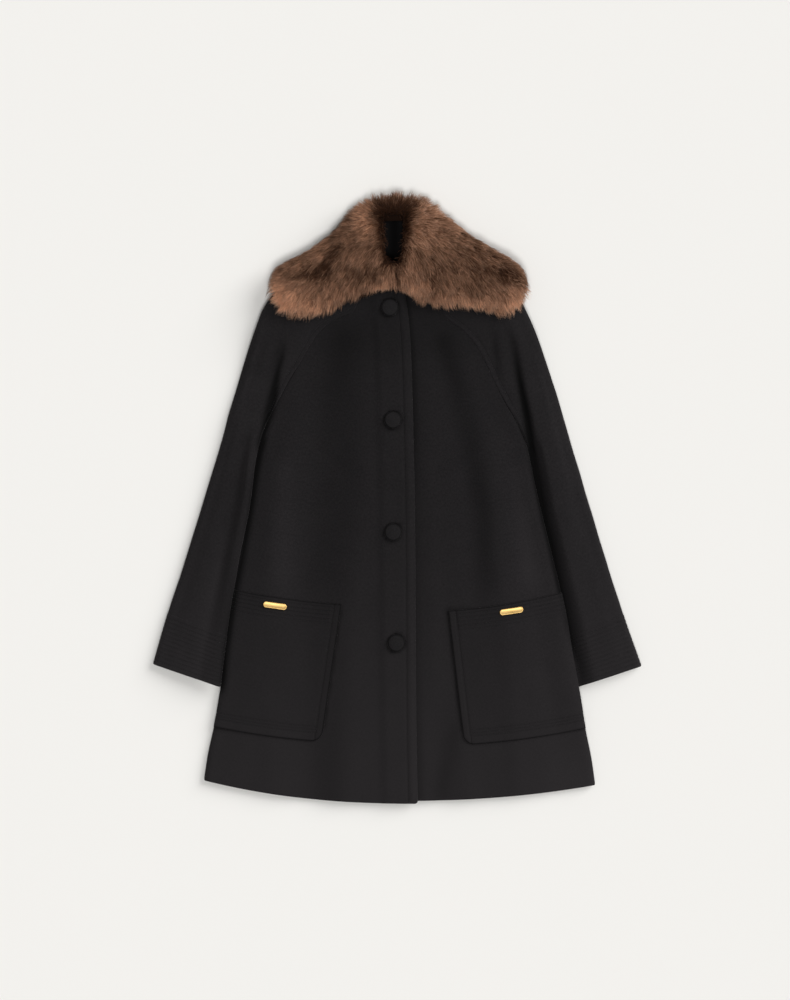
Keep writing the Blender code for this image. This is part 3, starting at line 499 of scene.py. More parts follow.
# How single hairs and clumps of them differ: ways in radians, lengths, slopes and darkness
HAIR_WAYS = 0.16
CLUMP_WAYS = 0.2
HAIR_LENGTHS = (0.72, 1.08)
CLUMP_LENGTHS = (0.78, 1.12)
HAIR_SLOPES = (0.6, 1.4)
DARK_SPREAD = 0.16
DARK_UNDER = 0.6
TUFT_DARK = 0.16
CLUMP_DARK = 0.1
TUFT_SHADE = (0.55, 1.3)
HAIR_SHADE = (0.45, 1.5)
PALE_SHADE = (0.3, 1.08, 0.4)

# Curls and falls of a hair as shares of its length, and its form
CURL = 0.07
CURL_TURNS = 1.3
FALL = 0.16
DROOP = 0.2
HAIR_ROOT = 0.75
HAIR_TAPER = 1.6

# Hair by the neck's slot: it turns any way, has painted shade, and stands up; and shorter hair
# there, at the top and at the centre front
SLOT_WAYS = 2.4
SLOT_TURNED = 7.0
SLOT_SHADE = (0.7, 8.0)
SLOT_NEAR = 14.0
SLOT_RAISED = 20.0
SLOT_Y = (350.0, 352.0)
TOP_SHORT = (415.0, 25.0)
FRONT_SHORT = (335.0, 15.0)
FRONT_WIDTH = (-6.0, 30.0, 12.0)
SHORTENED = 0.7

# How far hair may pass the collar's outline: tufts and hairs on the shoulders, hairs elsewhere
SHOULDER_LOW = (315.0, 20.0)
SHOULDER_HIGH = (440.0, 20.0)
SHOULDER_WIDE = 40.0
TUFT_MARGIN = (-8.0, 9.0)
HAIR_MARGIN = (-3.0, 1.5)
LOOSE_MARGIN = 2.5
FRONT_MARGIN = 1.5
SLOT_MARGIN = (5.0, 1.2)
TRIMS = 5
LEAST_TRIM = 0.6

# How far hair stays over the cloth and over the surface, each ring a step higher, and how far
# the hair of the pelt's under side stays below the coat
OVER_COAT = 0.7
OVER_SURFACE = 0.5
FLOOR_STEP = 0.25
UNDER_COAT = 0.8
UNDER_LEAST = 0.6


def mix(a, b, t):
    """The value a share t of the way from a to b."""
    return a + (b - a) * t


def smooth(t):
    """A soft step from 0 to 1."""
    t = np.clip(t, 0.0, 1.0)
    return t * t * (3.0 - 2.0 * t)


def named(columns, row):
    """One table row as a dictionary by column name."""
    return dict(zip(columns, row))


def neck_lift(y):
    """How far the collar's back raises the coat off the surface."""
    return NECK_LIFT * smooth((y - LIFT_FROM) / (LIFT_TO - LIFT_FROM))


def bell(distance, half_width):
    """1 at a distance of zero, and softly down to 0 on both sides."""
    return np.exp(-((distance / half_width) ** 2))


def nearest_on(path, x, y):
    """How far places in plan are from a path of points, and the values of its nearest point."""
    path = np.array(path, float)
    nearest = np.full(x.shape, np.inf)
    here = np.zeros((path.shape[1],) + x.shape)
    for start, stop in zip(path, path[1:]):
        dx, dy = stop[:2] - start[:2]
        t = ((x - start[0]) * dx + (y - start[1]) * dy) / (dx * dx + dy * dy)
        point = [mix(a, b, np.clip(t, 0.0, 1.0)) for a, b in zip(start, stop)]
        gap = np.hypot(x - point[0], y - point[1])
        here = np.where(gap < nearest, point, here)
        nearest = np.minimum(gap, nearest)
    return nearest, here


def line_distance(outline, x, y):
    """Distance of places in plan from a closed outline."""
    return nearest_on([*outline, outline[0]], x, y)[0]


def crease_fields(creases, x, y):
    """How deep a table's creases are at points in plan, and how dark the painted shade is in them.
    """
    depth, dark = np.zeros_like(x), np.zeros_like(x)
    for row in creases:
        crease = named(CREASE_COLUMNS, row)
        nearest, (_, _, here) = nearest_on(crease["path"], x, y)
        form = bell(nearest, crease["half_width"])
        depth += here * form
        deepest = max(abs(point[2]) for point in crease["path"])
        dark = np.maximum(dark, crease.get("dark", 0.0) * form * np.abs(here) / deepest)
    return depth, dark


def fold_fields(x, y):
    """How deep the sleeves' folds are at points in plan, and how dark the painted shade is in
    them.
    """
    depth, dark = np.zeros_like(x), np.zeros_like(x)
    for fold in FOLDS:
        nearest, (fold_x, _, deep, inner, outer, shade) = nearest_on(fold, x, y)
        form = bell(nearest, np.where(np.abs(x) < np.abs(fold_x), inner, outer))
        depth += deep * form
        dark = np.maximum(dark, shade * form)
    return depth, dark


def edge_x(y, at_neck):
    """x of a front edge at a y."""
    return at_neck + np.interp(y, *np.array(FRONT_EDGE, float).T)


def body_height(y):
    """Height of the upper layer over the body, away from its folds and creases."""
    return BODY_MIDDLE - BODY_HEM_DROP * smooth((HEM_DROP_FROM - y) / HEM_DROP_OVER)


def overlap_rise(x, y):
    """How far the right front is raised where it lies on the left one."""
    hidden_edge = edge_x(y, LEFT_EDGE_X)
    return OVERLAP_RISE * smooth((x - hidden_edge + OVERLAP_MARGIN) / OVERLAP_RAMP)


def turn_to(crest, level, seam):
    """The angle at which a fold from the crest to the level has come to a seam's height."""
    return math.acos(max(-1.0, min(1.0, (seam - level) / (crest - level))))


def moved_in(points, gap):
    """Moves each point of a line to the line's left by the gap, square to the line."""
    moved = []
    for index, (x, y) in enumerate(points):
        x0, y0 = points[max(0, index - 1)]
        x1, y1 = points[min(len(points) - 1, index + 1)]
        length = math.hypot(x1 - x0, y1 - y0)
        moved.append((x - gap * (y1 - y0) / length, y + gap * (x1 - x0) / length))
    return moved


def travelled(points):
    """How far each point of a line is along it."""
    return np.concatenate(([0.0], np.cumsum(np.linalg.norm(np.diff(points, axis=0), axis=1))))


def in_mm(key):
    """One of the sizes that a user may set, in millimetres."""
    return getattr(bpy.context.scene.coat_sizes, key) / MM


def keep_values(mesh, key, values):
    """Keeps a number for each point on a mesh, for its finish to read."""
    layer = mesh.attributes.new(key, "FLOAT", "POINT")
    layer.data.foreach_set("value", values.astype(np.float32).ravel())


class End:
    """One end of a section: a fold that turns from the crest towards the level, or a cut."""

    def __init__(self, crest, level=None, turn=0.0, radius=0.0):
        self.crest = crest
        self.level = crest if level is None else level
        self.turn = turn
        self.radius = radius
        self.reach = radius * math.sin(turn)
        self.arc = radius * turn


class Section:
    """A row across a piece, read at distances along it from its first end.

    place(s) gives x and y at a distance s in plan, face is 1 on the upper layer and -1 on the
    lower one, and middle(x, y) is the height of the flat part.
    """

    def __init__(self, place, length, ends, face, middle):
        self.place = place
        self.length = length
        self.first, self.last = ends
        self.face = face
        self.middle = middle
        self.flat = length - self.first.reach - self.last.reach
        self.total = self.first.arc + self.flat + self.last.arc

    def points(self, distances, offset):
        """Points at distances along the section, moved out of the cloth by the offset."""
        first, last = self.first, self.last
        s = first.reach + np.clip(distances - first.arc, 0.0, self.flat)
        into_first = np.clip(first.arc - distances, 0.0, None) / (first.radius or 1.0)
        into_last = np.clip(distances - first.arc - self.flat, 0.0, None) / (last.radius or 1.0)
        plan = s - (first.radius + offset) * np.sin(into_first)
        plan = plan + (last.radius + offset) * np.sin(into_last)
        x, y = self.place(plan)
        height = self.middle(x, y)
        ease = min(EASE, EASE_SHARE * self.flat)
        z = height
        if first.radius:
            z = z + (first.crest - height) * (1.0 - smooth((s - first.reach) / ease))
        if last.radius:
            z = z + (last.crest - height) * (1.0 - smooth((self.length - last.reach - s) / ease))
        z = z + self.face * offset
        for end, angle in ((first, into_first), (last, into_last)):
            round_z = end.level + self.face * (abs(end.crest - end.level) + offset) * np.cos(angle)
            z = np.where(angle > 0.0, round_z, z)
        return np.stack((x, y, z + neck_lift(y)), axis=-1)


def smooth_rows(places, values, wanted):
    """Rows at wanted places on smooth curves through the rows of values at given places."""
    gap = np.diff(places)[:, None, None]
    step = np.diff(values, axis=0) / gap
    slope = np.empty_like(values)
    slope[0], slope[-1] = step[0], step[-1]
    both = gap[1:] + gap[:-1]
    slope[1:-1] = (step[:-1] * gap[1:] + step[1:] * gap[:-1]) / both
    k = np.clip(np.searchsorted(places, wanted, side="right") - 1, 0, len(places) - 2)
    h = (places[k + 1] - places[k])[:, None, None]
    t = ((wanted - places[k]) / (places[k + 1] - places[k]))[:, None, None]
    start, stop = values[k], values[k + 1]
    bend = t * (1.0 - t) * h * ((1.0 - t) * slope[k] - t * slope[k + 1])
    ease = t * t * (3.0 - 2.0 * t)
    return start + (stop - start) * ease + bend


def unit(vectors):
    """Vectors of length one."""
    length = np.linalg.norm(vectors, axis=-1, keepdims=True)
    return vectors / np.maximum(length, 1e-9)


def steps_between(start, stop, fine_start, fine_stop, step):
    """Distances from start to stop: fine ones at both ends, and even ones between them."""
    head = [start + d for d in fine_start]
    tail = [stop - d for d in reversed(fine_stop)]
    count = max(2, round((tail[0] - head[-1]) / step))
    return np.array(head[:-1] + list(np.linspace(head[-1], tail[0], count + 1)) + tail[1:])


def grid_faces(number):
    """The faces of a grid of numbered points."""
    corners = (number[:-1, :-1], number[:-1, 1:], number[1:, 1:], number[1:, :-1])
    return np.stack(corners, axis=-1).reshape(-1, 4)


def ring_faces(rings, count):
    """The faces between closed rings of a count of points each."""
    return [(ring * count + k, ring * count + (k + 1) % count,
             (ring + 1) * count + (k + 1) % count, (ring + 1) * count + k)
            for ring in range(rings - 1) for k in range(count)]


# How upright a normal is where cloth starts to be lifted, over a range, and how much of a row the
# fine steps at its two ends may take
FOLD_SLOPES = (0.2, 0.7)
FINE_SHARE = 0.8


class Panel:
    """A cut piece as a fine grid: rows along the garment, columns across it.

    out and inn are the points of its two faces. across is the distance of each point from the
    row's first end, left that to its last end, and up that from the first row, which along
    holds once for each row. normals point out of the cloth.
    """

    def __init__(self, sections, near, far, step, rows, offsets=(0.0, -CLOTH), spans=None):
        self.face = sections[0].face
        grids = []
        widest = max(section.total for section in sections)
        count = max(4, round((widest - near[-1] - far[-1]) / step))
        for index, section in enumerate(sections):
            start, stop = spans[index] if spans else (0.0, section.total)
            scale = min(1.0, FINE_SHARE * (stop - start) / (near[-1] + far[-1]))
            head = start + scale * np.array(near)
            tail = stop - scale * np.array(far[::-1])
            middle = np.linspace(head[-1], tail[0], count + 1)[1:-1]
            distances = np.concatenate((head, middle, tail))
            faces = [section.points(distances, offset) for offset in offsets]
            grids.append(np.concatenate(
                faces + [(distances - start)[:, None], (stop - distances)[:, None]], axis=1))
        values = np.stack(grids)
        moves = np.linalg.norm(np.diff(values[:, :, :2], axis=0), axis=2).mean(axis=1)
        places = np.concatenate(([0.0], np.cumsum(moves)))
        self.places = places
        self.length = places[-1]
        self.along = rows(places)
        dense = smooth_rows(places, values, self.along)
        self.out, self.inn = dense[..., 0:3].copy(), dense[..., 3:6].copy()
        self.across, self.left = dense[..., 6], dense[..., 7]
        self.up = np.broadcast_to(self.along[:, None], self.across.shape)
        # Painted shade, and painted highlight below zero, which the finish reads.
        self.dark = np.zeros_like(self.across)
        below = np.maximum(-self.out[..., 2], 0.0) if self.face < 0 else 0.0
        self.out[..., 2] += below
        self.inn[..., 2] += below
        self.find_normals()

    def find_normals(self):
        """Works out the normals of the outer face."""
        down = np.gradient(self.out, axis=0)
        over = np.gradient(self.out, axis=1)
        normals = unit(np.cross(over, down))
        middle = normals[normals.shape[0] // 2, normals.shape[1] // 2]
        if middle[2] * self.face < 0:
            normals = -normals
        self.normals = normals

    def plan(self):
        """x and y of the outer face's points as they are now."""
        return self.out[..., 0].copy(), self.out[..., 1].copy()

    def band(self, bands):
        """Paints shade by a table's bands, and highlights where they are below zero."""
        self.dark += crease_fields(bands, *self.plan())[0]

    def push(self, amount):
        """Moves the outer face out along its normals by an amount at each point."""
        self.out += self.normals * amount[..., None]

    def lift(self, amount, least=0.0):
        """Moves both faces up or down, not on the folds' sides and no lower than a height."""
        steep, soft = FOLD_SLOPES
        flatness = smooth((np.abs(self.normals[..., 2]) - steep) / soft)
        low = np.minimum(self.out[..., 2], least + neck_lift(self.out[..., 1]))
        moved = np.maximum(self.out[..., 2] + amount * flatness, low) - self.out[..., 2]
        self.out[..., 2] += moved
        self.inn[..., 2] += moved
        self.find_normals()

    def crease(self, creases):
        """Sinks a table's creases into the cloth, the lower layers' ones rising instead, and
        paints shade in their depth.
        """
        depth, dark = crease_fields(creases, *self.plan())
        if self.face > 0:
            self.lift(-depth, LEAST_HEIGHT)
        else:
            self.lift(np.maximum(depth, 0.0))
        self.shade(dark)

    def shade(self, dark):
        """Paints shade this much into the cloth, where it isn't as dark yet."""
        self.dark += np.maximum(dark - np.maximum(self.dark, 0.0), 0.0)

    def shade_along(self, distance, width, strength=1.0):
        """Paints shade along a line at a distance of zero and below."""
        self.shade(strength * bell(np.maximum(distance, 0.0), width))

    def groove(self, distance, depth, share=1.0):
        """Presses the outer face in along a line at a distance of zero, and paints shade into the
        groove.
        """
        self.push(-depth * share * bell(distance, GROOVE_HALF))
        self.dark += GROOVE_SHADE * share * bell(distance, GROOVE_SHADE_HALF)

    def round_corner(self, radius, at_top):
        """Rounds a corner beside the rows' first ends, by sliding its points over the surface."""
        p = radius - self.across
        s = radius - (self.length - self.up if at_top else self.up)
        inside = (p > 0) & (s > 0)
        factor = np.where(inside, np.maximum(p, s) / np.maximum(np.hypot(p, s), 1e-9), 1.0)
        over = unit(np.gradient(self.out, axis=1))
        up = unit(np.gradient(self.out, axis=0)) * (-1.0 if at_top else 1.0)
        shift = over * (p - p * factor)[..., None] + up * (s - s * factor)[..., None]
        shift = np.where(inside[..., None], shift, 0.0)
        self.out += shift
        self.inn += shift

    def roll_edges(self, *widths):
        """Brings both faces together at the first and last ends, the bottom and the top."""
        share = np.zeros_like(self.across)
        edges = (self.across, self.left, self.up, self.length - self.up)
        for distance, width in zip(edges, widths):
            rest = np.clip(1.0 - distance / width, 0.0, 1.0)
            share = np.maximum(share, 0.5 * (1.0 - np.sqrt(1.0 - rest * rest)))
        share = share[..., None]
        out, inn = self.out, self.inn
        self.out, self.inn = mix(out, inn, share), mix(inn, out, share)

    def line_along(self, distance, start, from_last=False):
        """The points and normals of a line that keeps a distance from an edge."""
        way = slice(None, None, -1 if from_last else 1)
        reach = (self.left if from_last else self.across)[:, way]
        points, normals = (
            [[np.interp(distance, reach[row], grid[row, way, k]) for k in range(3)]
             for row in np.flatnonzero(self.along >= start)]
            for grid in (self.out, self.normals))
        return np.array(points), unit(np.array(normals))

    def line_across(self, distance, start=0.0, stop=0.0):
        """The points and normals of a line across the piece, clear of its two ends."""
        found = []
        for grid in (self.out, self.normals, self.across[..., None], self.left[..., None]):
            row = np.searchsorted(self.along, distance) - 1
            t = (distance - self.along[row]) / (self.along[row + 1] - self.along[row])
            found.append(mix(grid[row], grid[row + 1], t))
        points, normals, across, left = found
        kept = (across[:, 0] >= start) & (left[:, 0] >= stop)
        return points[kept], unit(normals[kept])

    def mesh(self, name):
        """The closed shell, with its cut's own distances as the texture map and its painted light
        and shade, in metres.
        """
        rows, columns = self.across.shape
        number = np.arange(rows * columns).reshape(rows, columns)
        inner = number.copy()
        inside = (slice(1, -1), slice(1, -1))
        inner[inside] = rows * columns + np.arange((rows - 2) * (columns - 2)).reshape(
            rows - 2, columns - 2)
        verts = np.concatenate((self.out.reshape(-1, 3), self.inn[inside].reshape(-1, 3)))
        quads = np.concatenate((grid_faces(number), grid_faces(inner)[:, ::-1]))
        a, b, c = (self.out[0, 0], self.out[0, 1], self.out[1, 1])
        if np.dot(np.cross(b - a, c - a), self.normals[0, 0]) < 0:
            quads = quads[:, ::-1]
        mesh = bpy.data.meshes.new(name)
        mesh.from_pydata((verts * MM).tolist(), [], quads.tolist())
        flat = np.stack((self.across, self.up), axis=-1)
        flat = np.concatenate((flat.reshape(-1, 2), flat[inside].reshape(-1, 2))) * MM
        corners = np.empty(len(mesh.loops), np.int32)
        mesh.loops.foreach_get("vertex_index", corners)
        layer = mesh.uv_layers.new(name="cut")
        layer.data.foreach_set("uv", flat[corners].astype(np.float32).ravel())
        # The painted shading for the finish: painted shade in creases, folds, grooves and beside
        # parts, and painted highlights below the rest level.
        dark = np.clip(self.dark + REST_SHADING, *SHADING_RANGE)
        dark = np.concatenate((dark.ravel(), dark[inside].ravel()))
        keep_values(mesh, "dark_nap", dark)
        mesh.shade_smooth()
        return mesh


class Side:
    """The tables of one side of the coat, with its sign in x."""

    def __init__(self, name, sign, side, sleeve, raglan, edge, pocket_x, flare):
        self.name = name
        self.sign = sign
        self.sleeve = [named(SLEEVE_COLUMNS, row) for row in sleeve]
        self.raglan = [named(RAGLAN_COLUMNS, row) for row in raglan]
        self.edge = edge
        self.pocket_x = pocket_x
        self.flare = flare
        self.rows = []
        folds = np.array(side, float)
        for row in BODY_ROWS:
            entry = named(ROW_COLUMNS, row)
            y = entry[name + "_side"]
            out, lifted = (float(np.interp(y, folds[:, 0], folds[:, k])) for k in (1, 2))
            self.rows.append((entry[name + "_edge"], sign * out, y, lifted))

    def pocket_edge(self, y):
        """x of the pocket's inner edge at a y."""
        return self.pocket_x + self.sign * self.flare * (POCKET_EDGE_Y - y)


RIGHT = Side("right", -1, RIGHT_SIDE, RIGHT_SLEEVE, RIGHT_RAGLAN, RIGHT_EDGE_X,
             RIGHT_POCKET_X, POCKET_FLARE)
LEFT = Side("left", 1, LEFT_SIDE, LEFT_SLEEVE, LEFT_RAGLAN, LEFT_EDGE_X,
            LEFT_POCKET_X, LEFT_POCKET_FLARE)
SIDES = {"right": RIGHT, "left": LEFT}


def front_sections(side):
    """The sections of one front, from the hem to the neck, each from the edge to the side."""
    ends = [(x, y) for _, x, y, _ in side.rows]
    ends += [(side.sign * row["front_x"], row["front_y"]) for row in side.raglan]
    ends = moved_in(ends, side.sign * SEAM_GAP / 2)
    sections = []
    for index, (end_x, end_y) in enumerate(ends):
        if index < len(side.rows):
            edge_y, _, _, lifted = side.rows[index]
            level = lifted + BODY_SIDE / 2 + SEAM_GAP / 2
            crest = lifted + BODY_SIDE
            turn = math.pi / 2
        else:
            row = side.raglan[index - len(side.rows)]
            edge_y = row["edge_y"]
            level = BODY_SIDE / 2 + SEAM_GAP / 2
            rise = smooth((row["front_z"] - BODY_SIDE / 2) / (BODY_MIDDLE - BODY_SIDE / 2))
            crest = mix(BODY_SIDE, BODY_MIDDLE, float(rise))
            turn = turn_to(crest, level, row["front_z"] + SEAM_GAP / 2)
        start_x = edge_x(edge_y, side.edge)
        length = abs(end_x - start_x)

        def place(s, start_x=start_x, length=length, y0=edge_y, y1=end_y):
            bow = np.clip(s / length, 0.0, None) ** ROW_BOW
            return start_x + side.sign * s, mix(y0, y1, bow)

        def middle(x, y):
            return body_height(y) + (overlap_rise(x, y) if side is RIGHT else 0.0)

        sections.append(Section(place, length, (End(0.0), End(crest, level, turn, BODY_FOLD)),
                                1, middle))
    return sections


def back_sections():
    """The sections of the back, from the hem to the neck, each from side to side."""
    rows = [((right[0] + left[0]) / 2 + BACK_SHORT, right[1:3], left[1:3],
             (right[3], None), (left[3], None)) for right, left in zip(RIGHT.rows, LEFT.rows)]
    rows += [(right["middle_y"], (-right["back_x"], right["back_y"]),
              (left["back_x"], left["back_y"]), (0.0, right["back_z"]), (0.0, left["back_z"]))
             for right, left in zip(RIGHT.raglan, LEFT.raglan)]
    right_line = moved_in([row[1] for row in rows], -SEAM_GAP / 2)
    left_line = moved_in([row[2] for row in rows], SEAM_GAP / 2)
    sections = []
    for (middle_y, _, _, *folds), start, stop in zip(rows, right_line, left_line):
        ends = []
        for lifted, seam in folds:
            level = lifted + BODY_SIDE / 2 - SEAM_GAP / 2
            turn = math.pi / 2
            if seam is not None:
                turn = turn_to(0.0, level, max(0.0, seam - SEAM_GAP / 2))
            ends.append(End(lifted, level, max(turn, LEAST_TURN), BODY_FOLD))
        length = stop[0] - start[0]

        def place(s, start=start, stop=stop, middle_y=middle_y, length=length):
            across = 2.0 * s / length - 1.0
            side_y = np.where(across < 0, start[1], stop[1])
            return start[0] + s, mix(middle_y, side_y, np.abs(across) ** ROW_BOW)

        sections.append(Section(place, length, ends, -1, lambda x, y: np.zeros_like(x)))
    return sections


def sleeve_sections(side, face):
    """The sections of a sleeve's front (face 1) or back (face -1) half, from its outer fold."""
    inner, outer, ends = [], [], []
    front = face > 0
    key = "front" if front else "back"
    for row in side.sleeve:
        inner.append((side.sign * row["inner_x"], row["inner_y"]))
        outer.append((side.sign * row["outer_x"], row["outer_y"]))
        level = (row["under"] + row["over"]) / 2 + face * SEAM_GAP / 2
        ends.append(End(row["over"] if front else row["under"], level, math.pi / 2, BODY_FOLD))
    for row in side.raglan:
        inner.append((side.sign * row[key + "_x"], row[key + "_y"]))
        outer.append((side.sign * row["outer_x"], row["outer_y"]))
        level = BODY_SIDE / 2 + face * SEAM_GAP / 2
        crest = BODY_MIDDLE if front else 0.0
        seam = row[key + "_z"]
        shifted = seam + SEAM_GAP / 2 if front else max(0.0, seam - SEAM_GAP / 2)
        turn = max(turn_to(crest, level, shifted), LEAST_TURN)
        ends.append(End(crest, level, turn, BODY_FOLD))
    inner = moved_in(inner, -side.sign * (SEAM_GAP / 2 - (SEAM_CLOSE if front else 0.0)))
    sections = []
    for start, stop, end in zip(outer, inner, ends):
        length = math.hypot(stop[0] - start[0], stop[1] - start[1])
        narrow = NARROW_FOLD * length
        end = End(end.crest, end.level, end.turn, min(BODY_FOLD, narrow))
        crest = SLEEVE_SIDE if front else 0.0
        level = SLEEVE_SIDE / 2 + face * SEAM_GAP / 2
        first = End(crest, level, math.pi / 2, min(SLEEVE_FOLD, narrow))

        def place(s, start=start, stop=stop, length=length):
            return mix(start[0], stop[0], s / length), mix(start[1], stop[1], s / length)

        height = SLEEVE_MIDDLE if front else 0.0
        sections.append(Section(place, length, (first, end), face,
                                lambda x, y, height=height: np.full_like(x, height)))
    return sections


# Distances of the grids' first lines from an edge, a rolled edge and a fold, on both sides of a
# stitched line where there is one, their steps after that across and along each piece, and the
# widths over which its edges are rolled
EDGE_STEPS = (0.0, 0.25, 0.8, 1.6, 2.6)
ROLL_STEPS = (0.0, 0.3, 1.0, 2.0, 3.2, 4.6, 6.5)
FOLD_STEPS = EDGE_STEPS + (5.0, 9.0, 13.0, 18.0, 26.0)
ROW_STEPS = ROLL_STEPS + (9.0,)
FRONT_REST = (18.0, 24.0, 31.0)
POCKET_STEPS = ROLL_STEPS + (7.5,)
POCKET_REST = (16.0, 21.0)
SLEEVE_STEPS = EDGE_STEPS + (4.5, 7.0, 10.0, 14.0)
SLEEVE_REST = (12.0, 16.0)
GRID_STEPS = {"front": (5.0, 6.0), "back": (11.0, 11.0), "sleeve_front": (4.0, 5.0),
              "sleeve_back": (10.0, 11.0), "pocket": (6.0, 6.0)}
ROLLED = {"front_right": (6.5, 0.5, 4.6, 2.0), "front_left": (4.6, 0.5, 4.6, 2.0),
          "back": (1.2, 1.2, 4.6, 2.0), "sleeve": (1.2, 0.5, 2.4, 2.0),
          "pocket": (4.0, 1.2, 4.0, 2.0)}


def lined(steps, *lines):
    """Distances with five more at each line, so that its groove has a shape."""
    wanted = {line + step for line in lines for step in LINE_STEPS}
    return tuple(sorted(wanted.union(steps)))


def ridge_rows(start, stop, ridges, fine=True):
    """Rows over a channel-stitched band, closest at its stitched lines."""
    pitch = (stop - start) / ridges
    parts = (0.0, 0.12, 0.3, 0.5, 0.7, 0.88) if fine else (0.0, 0.25, 0.75)
    return [start + pitch * (index + part) for index in range(ridges) for part in parts]


def ridge_shape(distance, start, stop, ridges):
    """0 on a band's stitched lines and 1 on the crests between them."""
    t = (distance - start) / (stop - start) * ridges
    inside = (t > 0) & (t < ridges)
    return np.where(inside, np.abs(np.sin(np.pi * t)) ** RIDGE_POWER, 0.0)


@functools.cache
def front_panel(name):
    """A front with its creases, stitched lines and rolled edges."""
    side = SIDES[name]
    line = PLACKET_LINE if side is RIGHT else HIDDEN_LINE
    near = lined(ROW_STEPS, line) + FRONT_REST
    across, along = GRID_STEPS["front"]

    def rows(places):
        return steps_between(0.0, places[-1], ROLL_STEPS, EDGE_STEPS, along)

    panel = Panel(front_sections(side), near, FOLD_STEPS[:-1], across, rows)
    x, y = panel.plan()
    panel.crease(CREASES)
    # Painted shade of the folds between the sleeves and the body.
    panel.shade(fold_fields(x, y)[1])
    panel.band(SHADING_BANDS)
    beside = bell(np.maximum(side.sign * (side.pocket_edge(y) - x), 0.0), POCKET_SHADE[1])
    end, soft = POCKET_SHADE_END
    below, soft_top = POCKET_SHADE_TOP
    beside *= smooth((y - end) / soft) * smooth((POCKET_EDGE_Y - below - y) / soft_top)
    panel.shade(POCKET_SHADE[0] * beside)
    if side is RIGHT:
        dent = np.zeros_like(x)
        for button_x, button_y in BUTTON_PLACES:
            gap = np.hypot(x - button_x, y - button_y) - in_mm("button_radius")
            dent += BUTTON_DENT * bell(np.maximum(gap, 0.0), BUTTON_DENT_HALF)
            # Painted shade in a ring round the button.
            panel.shade_along(gap, BUTTON_SHADE[1], BUTTON_SHADE[0])
        panel.lift(-dent)
        height, place, width = LIP
        lip = bell(panel.across - place, width)
        panel.push(height * lip)
        # A painted highlight along the lip.
        panel.dark += LIP_HIGHLIGHT * lip
    else:
        valley = bell(np.maximum(x - edge_x(y, RIGHT_EDGE_X), 0.0), VALLEY[1])
        panel.lift(-VALLEY[0] * valley)
        # Painted shade in the valley.
        panel.shade(valley * np.interp(y, *VALLEY_SHADE))
    panel.groove(panel.across - line, in_mm("groove_depth"))
    panel.round_corner(FRONT_CORNER, True)
    panel.round_corner(FRONT_CORNER, False)
    panel.roll_edges(*ROLLED["front_" + name])
    return panel


@functools.cache
def back_panel():
    """The back, whose creases rise from the surface that it lies on."""
    across, along = GRID_STEPS["back"]

    def rows(places):
        return steps_between(0.0, places[-1], ROLL_STEPS, EDGE_STEPS, along)

    panel = Panel(back_sections(), FOLD_STEPS, FOLD_STEPS, across, rows)
    panel.crease(UNDER_CREASES)
    # Painted shade where the back shows through the neck opening.
    panel.band(NECK_SHADE_BANDS)
    panel.roll_edges(*ROLLED["back"])
    return panel


@functools.cache
def sleeve_panel(name, half):
    """Half of a sleeve, with its cuff's channel-stitched band."""
    side = SIDES[name]
    face = 1 if half == "front" else -1

    across, along = GRID_STEPS["sleeve_" + half]

    def rows(places):
        band = ridge_rows(0.0, places[1], CUFF_RIDGES, face > 0)
        edge = list(ROLL_STEPS[1:4])
        rest = steps_between(places[1], places[-1], (0.0, 2.0, 4.0), EDGE_STEPS, along)
        return np.array(sorted(set(band + edge)) + list(rest))

    far = lined(EDGE_STEPS, RAGLAN_LINE) + SLEEVE_REST
    panel = Panel(sleeve_sections(side, face), SLEEVE_STEPS, far, across, rows)
    cuff = panel.places[1]
    seam = smooth((panel.up - panel.places[len(side.sleeve)]) / SEAM_START)
    if face > 0:
        share = panel.across / (panel.across + panel.left)
        panel.lift(SLEEVE_DOME * 4.0 * share * (1.0 - share) * (1.0 - DOME_LESS * seam))
        # The folds by the body, and their painted shade.
        depth, dark = fold_fields(*panel.plan())
        panel.lift(-depth * smooth(panel.left / FOLD_START), LEAST_HEIGHT)
        # The sleeves' paler nap, and a painted highlight towards their outer fold.
        edge_highlight, edge_wide = SLEEVE_EDGE_HIGHLIGHT
        panel.dark = dark + SLEEVE_NAP + edge_highlight * smooth(1.0 - panel.across / edge_wide)
        panel.band(SHADING_BANDS)
    panel.crease(CREASES if face > 0 else UNDER_CREASES)
    height = in_mm("ridge_height")
    ridge = ridge_shape(panel.up, 0.0, cuff, CUFF_RIDGES)
    in_band = smooth((cuff - panel.up) / 2.0)
    if face > 0:
        panel.push(CUFF_RIDGE * height * ridge)
        # Painted shade along the stitched lines between the cuff's ridges.
        panel.dark += RIDGE_SHADE[1] * (1.0 - ridge) * in_band
        panel.push(SEAM_RIDGE * seam * smooth(1.0 - panel.left / (RAGLAN_LINE + 2.0)))
    else:
        panel.push(CUFF_GROOVE * height * (ridge - 1.0) * in_band)
    panel.groove(panel.left - RAGLAN_LINE, SEAM_GROOVE * in_mm("groove_depth"), seam)
    panel.roll_edges(*ROLLED["sleeve"])
    return panel


